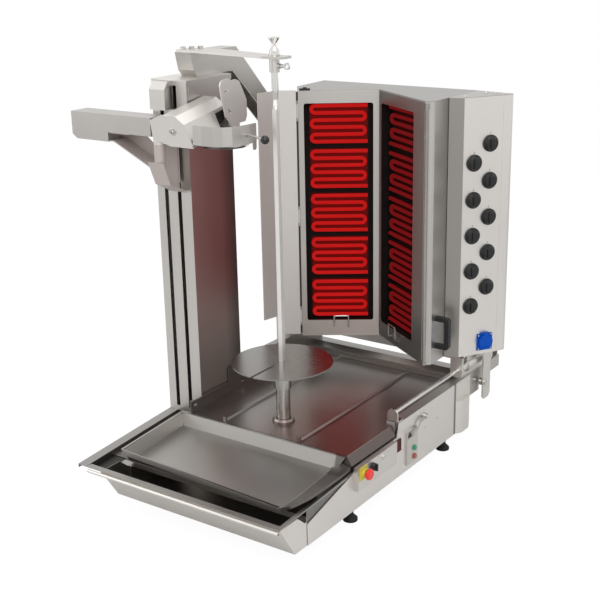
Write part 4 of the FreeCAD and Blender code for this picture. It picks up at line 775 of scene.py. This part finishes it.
# The sheet amounts below are painted light and shade: the one steel made lighter or darker for
# how light falls on each part.
NODE_FINISH: dict[str, Finish] = {
    "chassis": chassis_finish(),
    "feet": RUBBER,
    "side_panel_right": panel_finish(),
    "rear_frame": sheet(0.8, Grain.ALONG_Y),
    "rim_frame": rim_finish(),
    "tub": tub_finish(),
    "carving_pan": pan_finish(),
    "grease_drawer": drawer_finish(),
    "spit_gearbox": CAST,
    "drive_tube": DULL_TURNED,
    "meat_disc": sheet(0.44, Grain.ALONG_X, 0.26),
    "spit_bar": SPIT,
    "bearing_plate": sheet(0.9),
    "top_arm": sheet(0.80, Grain.ALONG_Y),
    "lift_pin": TURNED,
    "thumb_screw": TURNED,
    "column": column_finish(),
    "lift_guides": TURNED,
    "lead_screw": TURNED,
    "lift_block": CAST,
    "head_bracket": BRACKET,
    "counter_arm": sheet(0.76),
    "head_housing": HOUSING,
    "blade_guard": sheet(0.8),
    "blade": KNIFE,
    "blade_motor": BLACK,
    "swing_ball": BLACK_GLOSS,
    "heater_shell": shell_finish(),
    "panel_left": sheet(0.74, Grain.ALONG_Z),
    "panel_right": sheet(0.52, Grain.ALONG_Z),
    "heat_boxes": FIRED,
    "heating_elements": GLOW,
    "shield_left": SHIELD,
    "edge_rod": EDGE_ROD,
    "cabinet_grip": BLACK,
    "control_box": box_finish(),
    "service_socket": BLUE,
    "socket_lid": BLUE,
    "guide_bar": BRIGHT_Y,
    "carriage": carriage_finish(),
    "clamp_screw": DULL_TURNED,
    "control_housing": sheet(1.05, Grain.ALONG_Y),
    "stop_plate": YELLOW,
    "stop_button": RED,
    "spit_selector": BLACK,
    "display": WINDOW,
    "button_strip": strip_finish(),
    "start_button": GREEN,
    "rest_button": MUTED_RED,
    "latch_wing": DULL_TURNED,
}


def dress_node(name: str, finish: Finish) -> None:
    """Puts a finish on a CAD node.

    Args:
        name: the node.
        finish: its finish.
    """
    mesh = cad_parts[name].data
    mesh.materials.clear()
    mesh.materials.append(finish.material())


# ---- forming helpers ----------------------------------------------------
def finish_piece(
    form: bmesh.types.BMesh,
    name: str,
    finish: Finish,
    body: str,
    smooth_angle: float = 35.0,
) -> bpy.types.Object:
    """Turns a formed bmesh into a piece that rides on a body.

    Args:
        form: the form.
        name: the piece's name.
        finish: its finish.
        body: the CAD body that it rides on.
        smooth_angle: edges flatter than this are shaded smooth, in degrees.

    Returns:
        The piece.
    """
    bmesh.ops.remove_doubles(form, verts=form.verts, dist=1e-6)
    bmesh.ops.recalc_face_normals(form, faces=form.faces)
    limit = math.radians(smooth_angle)
    for face in form.faces:
        face.smooth = True
    for edge in form.edges:
        edge.smooth = len(edge.link_faces) == 2 and edge.calc_face_angle(0.0) < limit
    mesh = bpy.data.meshes.new(name)
    form.to_mesh(mesh)
    form.free()
    mesh.materials.append(finish.material())
    piece = bpy.data.objects.new(name, mesh)
    bpy.context.scene.collection.objects.link(piece)
    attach(piece, body)
    LOG.info("piece %s rides on %s", name, body)
    return piece


class RoundRod:
    """A round rod that is drawn by runs and bends, its lengths in millimetres."""

    def __init__(self, start: Vector, heading: Vector, radius: float, sides: int = 12) -> None:
        """Starts the rod with a closed end.

        Args:
            start: centre of the first end, in metres.
            heading: direction of the first run.
            radius: rod radius.
            sides: facets round the rod.
        """
        self.form = bmesh.new()
        self.heading = heading.normalized()
        turn = UP.rotation_difference(self.heading).to_matrix().to_4x4()
        bmesh.ops.create_circle(
            self.form,
            cap_ends=True,
            segments=sides,
            radius=radius * MM,
            matrix=Matrix.Translation(start) @ turn,
        )
        self.end = list(self.form.faces)

    def grow(self) -> list[bmesh.types.BMVert]:
        """Extrudes the open end and returns its new corners."""
        self.end = bmesh.ops.extrude_discrete_faces(self.form, faces=self.end)["faces"]
        return list({vert for face in self.end for vert in face.verts})

    def run(self, length: float) -> None:
        """Draws a straight run.

        Args:
            length: its length.
        """
        step = self.heading * (length * MM)
        bmesh.ops.translate(self.form, vec=step, verts=self.grow())

    def bend(self, centre: Vector, axis: Vector, angle: float, steps: int = 8) -> None:
        """Draws an arc.

        Args:
            centre: the arc's centre, in metres.
            axis: the axis that it turns about.
            angle: the angle in radians.
            steps: facets along the arc.
        """
        part = Matrix.Rotation(angle / steps, 3, axis)
        for _ in range(steps):
            bmesh.ops.rotate(self.form, cent=centre, matrix=part, verts=self.grow())
        self.heading = Matrix.Rotation(angle, 3, axis) @ self.heading


class Lathe:
    """A form turned round the Z axis from a profile."""

    def __init__(self, profile: list[tuple[float, float]], sides: int) -> None:
        """Turns the profile.

        Args:
            profile: radius and height of each corner in millimetres, closed at the axis.
            sides: facets round the form.
        """
        self.form = bmesh.new()
        verts = [self.form.verts.new((r * MM, 0.0, h * MM)) for r, h in profile]
        edges = [self.form.edges.new(pair) for pair in zip(verts, verts[1:])]
        bmesh.ops.spin(
            self.form,
            geom=verts + edges,
            cent=(0, 0, 0),
            axis=(0, 0, 1),
            angle=math.tau,
            steps=sides,
            use_merge=True,
        )
        bmesh.ops.remove_doubles(self.form, verts=self.form.verts, dist=1e-6)


def metres(place: Place) -> Vector:
    """Turns a place in millimetres into one in metres.

    Args:
        place: x, y and z.

    Returns:
        The place.
    """
    return Vector([value * MM for value in place])


def add_block(
    form: bmesh.types.BMesh, low: Place, high: Place, bevel: float, steps: int = 2
) -> None:
    """Adds a block with rounded edges to a form, in millimetres.

    Args:
        form: the form that it joins.
        low: lowest corner.
        high: highest corner.
        bevel: edge radius.
        steps: facets across an edge.
    """
    first, last = metres(low), metres(high)
    place = Matrix.Translation((first + last) / 2) @ Matrix.Diagonal((*(last - first), 1.0))
    cube = bmesh.ops.create_cube(form, size=1.0, matrix=place)
    edges = list({edge for vert in cube["verts"] for edge in vert.link_edges})
    bmesh.ops.bevel(
        form, geom=edges, offset=bevel * MM, segments=steps, profile=0.5, affect="EDGES"
    )


def set_at(form: bmesh.types.BMesh, frame_there: Matrix) -> None:
    """Moves a form from the origin to its place.

    Args:
        form: the form.
        frame_there: the frame that it stands in.
    """
    bmesh.ops.transform(form, matrix=frame_there, verts=form.verts)


def plate(outline: list[Place], thickness: Place) -> bmesh.types.BMesh:
    """Forms a flat plate, in millimetres.

    Args:
        outline: corners of one face.
        thickness: the way from that face to the other.

    Returns:
        The form.
    """
    form = bmesh.new()
    face = form.faces.new([form.verts.new(metres(corner)) for corner in outline])
    grown = bmesh.ops.extrude_face_region(form, geom=[face])
    moved = [part for part in grown["geom"] if isinstance(part, bmesh.types.BMVert)]
    bmesh.ops.translate(form, vec=metres(thickness), verts=moved)
    return form


def stand(origin: Vector, outward: Vector, upward: Vector) -> Matrix:
    """Frame whose Z points outward and whose Y points as far up as it can.

    Args:
        origin: where the frame stands.
        outward: its Z direction.
        upward: the direction nearest its Y.

    Returns:
        The frame as a matrix.
    """
    z_axis = outward.normalized()
    x_axis = upward.cross(z_axis).normalized()
    turn = Matrix((x_axis, z_axis.cross(x_axis), z_axis)).transposed()
    return Matrix.Translation(origin) @ turn.to_4x4()


def middle(node: str) -> Vector:
    """Centre of a node's box.

    Args:
        node: the node.

    Returns:
        The centre.
    """
    low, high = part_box(node)
    return (Vector(low) + Vector(high)) / 2


# ---- sub-assemblies -----------------------------------------------------
@dataclass(frozen=True)
class Panel:
    """One heater panel's own coordinates: side -1 is the left one."""

    side: int

    def place(self, along: float, out: float, height: float) -> Vector:
        """Point given in the panel's own coordinates, in millimetres.

        Args:
            along: distance from the fold.
            out: distance towards the spit.
            height: height above the counter.

        Returns:
            The point in metres.
        """
        turn = Matrix.Rotation(-self.side * HALF_ANGLE, 3, "Z")
        flat = turn @ metres((along * self.side, -out, 0.0))
        return Vector((FOLD_X + flat.x, FOLD_Y + flat.y, height * MM))

    def axes(self) -> tuple[Vector, Vector]:
        """Directions away from the fold and towards the spit."""
        origin = self.place(0.0, 0.0, 0.0)
        return self.place(METRE, 0.0, 0.0) - origin, self.place(0.0, METRE, 0.0) - origin

    def frame(self) -> Matrix:
        """Matrix with X away from the fold and Y towards the spit."""
        turn = Matrix((*self.axes(), UP)).transposed()
        return Matrix.Translation(self.place(0.0, 0.0, 0.0)) @ turn.to_4x4()


@dataclass
class HeaterElements:
    """The cabinet's ten elements, drawn as round sheathed rods, in millimetres."""

    first_row: float = 957.5
    rows: int = 5
    passes: int = 6
    pass_pitch: float = 21.3
    near: float = 33.0
    far: float = 205.0
    near_bend: float = 35.0
    depth: float = 21.0
    rod_radius: float = 5.6

    def element(self, panel: Panel, top: float) -> RoundRod:
        """Draws one serpentine.

        Args:
            panel: the panel.
            top: height of its first pass.

        Returns:
            The rod.
        """
        radius = self.pass_pitch / 2
        far = self.far - self.rod_radius - radius
        near = self.near_bend + self.rod_radius + radius
        first_end = panel.place(self.near, -self.depth, top)
        rod = RoundRod(first_end, panel.axes()[0], self.rod_radius)
        height = top
        for index in range(self.passes):
            away = index % 2 == 0
            last = index == self.passes - 1
            begin = self.near if index == 0 else (near if away else far)
            target = self.near if last else (far if away else near)
            rod.run(abs(target - begin))
            if last:
                break
            centre = panel.place(target, -self.depth, height - radius)
            rod.bend(centre, rod.heading.cross(-UP), math.pi)
            height -= self.pass_pitch
        return rod

    def build(self) -> None:
        """Builds both banks of elements."""
        half_passes = (self.passes - 1) / 2
        for side, label in ((-1, "left"), (1, "right")):
            for row in range(self.rows):
                top = self.first_row - row * ROW_PITCH + half_passes * self.pass_pitch
                rod = self.element(Panel(side), top)
                piece = finish_piece(
                    rod.form, f"element_{label}_{row + 1}", GLOW, "heater", 50.0
                )
                if row == 0 and side < 0:
                    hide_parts("heating_elements")


@dataclass
class CabinetTrim:
    """Small pieces on the heater cabinet, in millimetres."""

    handle_span: tuple[float, float] = (94.0, 138.0)
    handle_height: tuple[float, float] = (328.4, 368.0)
    handle_out: float = 13.4
    wire: float = 2.3
    left_end: float = 237.0

    def handle(self, side: int, label: str) -> None:
        """Bends a round wire handle over a panel's lower rail.

        Args:
            side: the panel.
            label: the piece's name.
        """
        panel = Panel(side)
        first, second = self.handle_span
        low, high = self.handle_height
        root, turn, out = 2.0, 5.0, self.handle_out
        along, away = panel.axes()
        rod = RoundRod(panel.place(first, root, low), away, self.wire, 10)
        rod.run(out - root - turn)
        rise, reach = away.cross(UP), UP.cross(along)
        leg = high - low - 2 * turn
        bends = (
            (panel.place(first, out - turn, low + turn), rise, leg),
            (panel.place(first + turn, out, high - turn), reach, second - first - 2 * turn),
            (panel.place(second - turn, out, high - turn), reach, leg),
            (panel.place(second, out - turn, low + turn), rise, out - root - turn),
        )
        for centre, axis, length in bends:
            rod.bend(centre, axis, math.pi / 2, 5)
            rod.run(length)
        piece = finish_piece(rod.form, label, DULL_TURNED, "heater", 60.0)

    def hinge_shade_strip(self) -> None:
        """Lays a dark strip behind the hinge gap: painted shade where the gap lies in shadow."""
        low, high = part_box("panel_left")
        start = self.left_end + 0.2
        form = bmesh.new()
        add_block(
            form,
            (start, -1.45, low[2] / MM + 3.0),
            (start + 5.6, -0.6, high[2] / MM - 1.0),
            0.3,
        )
        set_at(form, Panel(-1).frame())
        finish_piece(form, "hinge_gap_liner", DARK_PRINT_AND_SHADE, "heater")

    def top_catch(self) -> None:
        """Sets the black catch on the cabinet's top left corner."""
        end, top = self.left_end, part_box("heater_shell")[1][2] / MM
        form = bmesh.new()
        add_block(form, (end - 36.0, -13.0, top), (end - 4.0, -3.0, top + 6.0), 1.2)
        add_block(form, (end - 26.0, -11.0, top + 6.0), (end - 14.0, -5.0, top + 9.0), 1.0)
        set_at(form, Panel(-1).frame())
        finish_piece(form, "cabinet_catch", BLACK, "heater")

    def build(self) -> None:
        """Builds the trim."""
        self.handle(-1, "wire_handle_left")
        self.handle(1, "wire_handle_right")
        self.hinge_shade_strip()
        self.top_catch()


@dataclass
class ControlFace:
    """The heat knobs and their marks on the control box."""

    corner: Vector = Vector((344.0 * MM, 893.0 * MM, 0.0))
    run: Vector = Vector((82.0, 126.3, 0.0))
    knobs: int = 10
    radius: float = 24.0

    def axes(self) -> tuple[Vector, Vector]:
        """Direction along the face and outward from it."""
        along = self.run.normalized()
        return along, along.cross(UP)

    def spot(self, along: float, height: float, out: float) -> Vector:
        """Point given in the face's own coordinates, in millimetres.

        Args:
            along: distance from the corner.
            height: height above the counter.
            out: distance in front of the face.

        Returns:
            The point in metres.
        """
        direction, outward = self.axes()
        return self.corner + (direction * along + UP * height + outward * out) * MM

    def foot(self, node: str) -> Vector:
        """Point on the face under a knob's centre.

        Args:
            node: the knob's node.

        Returns:
            The point.
        """
        along, _ = self.axes()
        centre = middle(node)
        flat = Vector((centre.x, centre.y, 0.0)) - self.corner
        return self.corner + along * flat.dot(along) + UP * centre.z

    def knob(self, number: int) -> None:
        """Forms one knob with a pinch grip.

        Args:
            number: which knob, counted from the top.
        """
        node = f"zone_knob_{number}"
        r = self.radius
        profile = [
            (0.0, 0.4),
            (r, 0.4),
            (r, 3.8),
            (r - 0.9, 4.8),
            (r - 2.6, 5.0),
            (r - 3.4, 6.2),
            (r - 6.4, 12.4),
            (r - 8.0, 13.2),
            (0.0, 13.2),
        ]
        form = Lathe(profile, 40).form
        add_block(form, (-7.0, -15.5, 6.0), (7.0, 15.5, 19.0), 2.2, 3)
        set_at(form, stand(self.foot(node), self.axes()[1], UP))
        piece = finish_piece(form, f"knob_{number}_moulding", BLACK, f"knob_{number}", 30.0)
        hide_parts(node)

    def marks(self) -> None:
        """Raises a short dark mark above each knob."""
        form = bmesh.new()
        start = self.radius + 3.0
        for number in range(1, self.knobs + 1):
            part = bmesh.new()
            add_block(part, (-0.7, start, 0.0), (0.7, start + 5.0, 0.15), 0.05, 1)
            foot = self.foot(f"zone_knob_{number}")
            set_at(part, stand(foot, self.axes()[1], UP))
            merge(form, part)
        finish_piece(form, "knob_marks", DARK_PRINT_AND_SHADE, "heater")

    def build(self) -> None:
        """Builds the knobs and marks."""
        for number in range(1, self.knobs + 1):
            self.knob(number)
        self.marks()


class BaseTrim:
    """Small plates and the key on the base."""

    def channel_front(self) -> None:
        """Carries the left channel's sheet forward under the rim."""
        form = bmesh.new()
        start, slope = 18.4, 0.0625
        add_block(form, (-304.9, start, 133.0), (-254.6, 99.6, 134.0), 0.2, 1)
        for vert in form.verts:
            vert.co.z += (vert.co.y - start * MM) * slope
        # Painted shade: this plate is dark because it lies in shade under the rim.
        finish_piece(form, "channel_front", DARK_SHEET, "base")

    def tub_end(self) -> None:
        """Closes the front end of the tub's right slope."""
        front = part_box("tub")[0][1] / MM + 0.3
        outline = (
            (288.0, 172.0),
            (329.5, 172.0),
            (329.5, 175.0),
            (314.5, 200.8),
            (288.0, 200.8),
        )
        form = plate([(x, front, z) for x, z in outline], (0.0, 0.9, 0.0))
        # Painted shade: the slope's end plate is darkened.
        finish_piece(form, "tub_slope_end", SLOPE_SHEET, "base")

    def side_fold(self) -> None:
        """Closes the wedge between the right side panel's slope and the rim."""
        inner = 329.6
        outline = ((119.0, 100.0), (299.0, 143.0), (299.0, 155.0), (119.0, 147.5))
        form = plate([(inner, y, z) for y, z in outline], (1.2, 0.0, 0.0))
        # Painted shade: the fold plate is darkened for the shade in the wedge.
        finish_piece(form, "side_fold", FOLD_SHEET, "base")

    def tab_foot(self) -> None:
        """Runs the guide bar's front tab down to the side panel."""
        low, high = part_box("guide_bar")
        centre = (low[0] + high[0]) / 2 / MM - 7.0
        front = low[1] / MM - 5.2
        end = min(centre + 16.0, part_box("side_panel_right")[1][0] / MM)
        form = bmesh.new()
        add_block(form, (centre - 9.0, front, 172.0), (end, front + 2.0, 212.0), 0.3, 1)
        finish_piece(form, "guide_bar_tab_foot", TAB_SHEET, "base")

    def key(self) -> None:
        """Turns the small black key that locks the control housing."""
        r, h = 4.2, 5.0
        form = Lathe([(0.0, 0.0), (r, 0.0), (r, h - 1.0), (r - 0.8, h), (0.0, h)], 20).form
        add_block(form, (-2.2, -3.0, 4.0), (2.2, 11.0, 6.6), 0.8)
        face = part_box("display")[0][0]
        set_at(form, stand(Vector((face, 460.0 * MM, 155.0 * MM)), EAST, UP))
        finish_piece(form, "housing_key", BLACK, "base", 40.0)

    def build(self) -> None:
        """Builds the trim."""
        self.channel_front()
        self.tub_end()
        self.side_fold()
        self.tab_foot()
        self.key()


def merge(form: bmesh.types.BMesh, part: bmesh.types.BMesh) -> None:
    """Moves a part's geometry into a form.

    Args:
        form: the form that grows.
        part: the part, freed afterwards.
    """
    carrier = bpy.data.meshes.new("merge_carrier")
    part.to_mesh(carrier)
    part.free()
    form.from_mesh(carrier)
    bpy.data.meshes.remove(carrier)


@dataclass(frozen=True)
class Screw:
    """A round-headed screw with a socket, its sizes in millimetres."""

    place: Vector
    outward: Vector
    radius: float
    height: float

    def form(self) -> bmesh.types.BMesh:
        """Turns the head and its socket.

        Returns:
            The form in the shared frame.
        """
        r, h = self.radius, self.height
        profile = [
            (0.0, 0.0),
            (r, 0.0),
            (r, h * 0.25),
            (r * 0.86, h * 0.7),
            (r * 0.58, h),
            (r * 0.42, h),
            (r * 0.36, h * 0.35),
            (0.0, h * 0.35),
        ]
        made = Lathe(profile, 18).form
        upward = UP if abs(self.outward.z) < 0.9 else Vector((0.0, 1.0, 0.0))
        set_at(made, stand(self.place, self.outward, upward))
        return made


@dataclass
class Screws:
    """A group of screws that ride on one body."""

    name: str
    body: str
    heads: list[Screw]

    def build(self) -> None:
        """Builds the group as one piece."""
        form = bmesh.new()
        for head in self.heads:
            merge(form, head.form())
        finish_piece(form, self.name, SCREW, self.body, 40.0)


def fasteners() -> list[Screws]:
    """Lists the screws that can be seen.

    Returns:
        The groups.
    """
    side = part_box("display")[0][0]
    low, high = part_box("button_strip")
    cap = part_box("control_box")[1][2]
    panel = [
        Screw(Vector((side, y * MM, z * MM)), EAST, 2.6, 1.4)
        for y, z in ((709.0, 144.0), (786.0, 143.0))
    ]
    skin, margin = 5.0 * MM, 5.0 * MM
    strip = [
        Screw(Vector((side + skin, y, z)), EAST, 2.4, 1.2)
        for y in (low[1] + margin, high[1] - margin)
        for z in (low[2] + margin, high[2] - margin)
    ]
    roof = [
        Screw(Vector((x * MM, y * MM, cap)), UP, 5.0, 3.2)
        for x, y in ((352.0, 1010.0), (378.0, 1018.0), (404.0, 1015.0), (335.0, 915.0))
    ]
    face = ControlFace()
    flange = [
        Screw(face.spot(along, height, 4.0), face.axes()[1], 2.8, 1.2)
        for height in (357.0, 315.0)
        for along in (65.0, 107.0)
    ]
    pivot_at = Vector((-178.0 * MM, 278.2 * MM, 1014.4 * MM))
    facing = Vector((0.0, -0.985, -0.174))
    pivot = [Screw(pivot_at, facing, 10.5, 1.6), Screw(pivot_at, facing, 5.2, 6.0)]
    return [
        Screws("head_pivot_bolt", "head", pivot),
        Screws("side_panel_screws", "base", panel),
        Screws("strip_screws", "base", strip),
        Screws("control_box_screws", "heater", roof),
        Screws("socket_screws", "heater", flange),
    ]


# ---- studio -------------------------------------------------------------
@dataclass
class Studio:
    """White floor, soft lamps, white surroundings and the camera."""

    eye: Vector
    azimuth: float = math.radians(35.2)
    elevation: float = math.radians(17.9)
    roll: float = math.radians(-1.19)
    lens: float = 68.15
    centre: Vector = Vector((0.0, 0.45, 0.6))
    glow: float = 1.08
    cover: float = 0.88

    def floor(self) -> None:
        """Lays a pale floor that keeps a soft shadow."""
        form = bmesh.new()
        bmesh.ops.create_grid(form, x_segments=1, y_segments=1, size=6.0)
        mesh = bpy.data.meshes.new("studio_floor")
        form.to_mesh(mesh)
        form.free()
        floor = bpy.data.objects.new("studio_floor", mesh)
        bpy.context.scene.collection.objects.link(floor)
        material, graph = new_graph("studio_floor_white")
        matt = graph.add("ShaderNodeBsdfDiffuse", {}, {"Color": (0.86, 0.86, 0.86)})
        white = graph.add(
            "ShaderNodeEmission", {}, {"Color": (1.0, 1.0, 1.0), "Strength": self.glow}
        )
        seen = graph.add("ShaderNodeLightPath", out=Ray.CAMERA.value) * self.cover
        surface = graph.add("ShaderNodeMixShader", {}, {0: seen, 1: matt, 2: white})
        graph.add("ShaderNodeOutputMaterial", {}, {"Surface": surface})
        mesh.materials.append(material)

    def surroundings(self) -> None:
        """Fills the world with white for what is seen and a softer grey for light."""
        world = bpy.data.worlds.new("studio_world")
        world.use_nodes = True
        bpy.context.scene.world = world
        graph = Graph(world.node_tree)
        seen = graph.add("ShaderNodeLightPath", out=Ray.CAMERA.value)
        for kind in (Ray.GLOSSY, Ray.TRANSMISSION):
            seen = seen.atleast(graph.add("ShaderNodeLightPath", out=kind.value))
        colour = graph.mix(seen, (0.55, 0.55, 0.55), (1.0, 1.0, 1.0))
        back = graph.add("ShaderNodeBackground", {}, {"Color": colour, "Strength": 1.0})
        graph.add("ShaderNodeOutputWorld", {}, {"Surface": back})

    def lamp(self, name: str, place: Vector, size: float, power: float) -> None:
        """Hangs a square soft lamp that points at the object.

        Args:
            name: the lamp's name.
            place: where it hangs.
            size: its side length.
            power: its power in watts.
        """
        light = bpy.data.lights.new(name, "AREA")
        light.shape = "SQUARE"
        light.size = size
        light.energy = power
        lamp = bpy.data.objects.new(name, light)
        lamp.location = place
        lamp.rotation_euler = (self.centre - place).to_track_quat("-Z", "Y").to_euler()
        bpy.context.scene.collection.objects.link(lamp)

    def camera(self) -> None:
        """Sets the camera at the viewing angle."""
        az, el = self.azimuth, self.elevation
        back = Vector(
            (math.sin(az) * math.cos(el), -math.cos(az) * math.cos(el), math.sin(el))
        )
        right = UP.cross(back).normalized()
        up = back.cross(right)
        right, up = (
            right * math.cos(self.roll) + up * math.sin(self.roll),
            up * math.cos(self.roll) - right * math.sin(self.roll),
        )
        turn = Matrix((right, up, back)).transposed()
        data = bpy.data.cameras.new("view_camera")
        data.lens = self.lens
        data.sensor_width = 36.0
        data.clip_end = 50.0
        camera = bpy.data.objects.new("view_camera", data)
        camera.matrix_world = Matrix.Translation(self.eye) @ turn.to_4x4()
        bpy.context.scene.collection.objects.link(camera)
        bpy.context.scene.camera = camera

    def build(self) -> None:
        """Sets up the whole studio."""
        self.floor()
        self.surroundings()
        self.lamp("key_lamp", Vector((2.2, -2.2, 2.8)), 2.2, 55.0)
        self.lamp("fill_lamp", Vector((-2.8, -1.2, 2.0)), 2.4, 22.0)
        self.lamp("top_lamp", Vector((0.2, 0.6, 3.4)), 2.0, 26.0)
        self.camera()
        bpy.context.scene.view_settings.view_transform = "Standard"


def main() -> None:
    """Dresses every node, builds the pieces and sets the studio."""
    logging.basicConfig(level=logging.INFO)
    for name in sorted(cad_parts):
        dress_node(name, NODE_FINISH.get(name, BLACK))
    HeaterElements().build()
    CabinetTrim().build()
    BaseTrim().build()
    ControlFace().build()
    for group in fasteners():
        group.build()
    Studio(eye=Vector((1.7679, -1.927, 1.4959))).build()


if __name__ == "__main__":
    main()
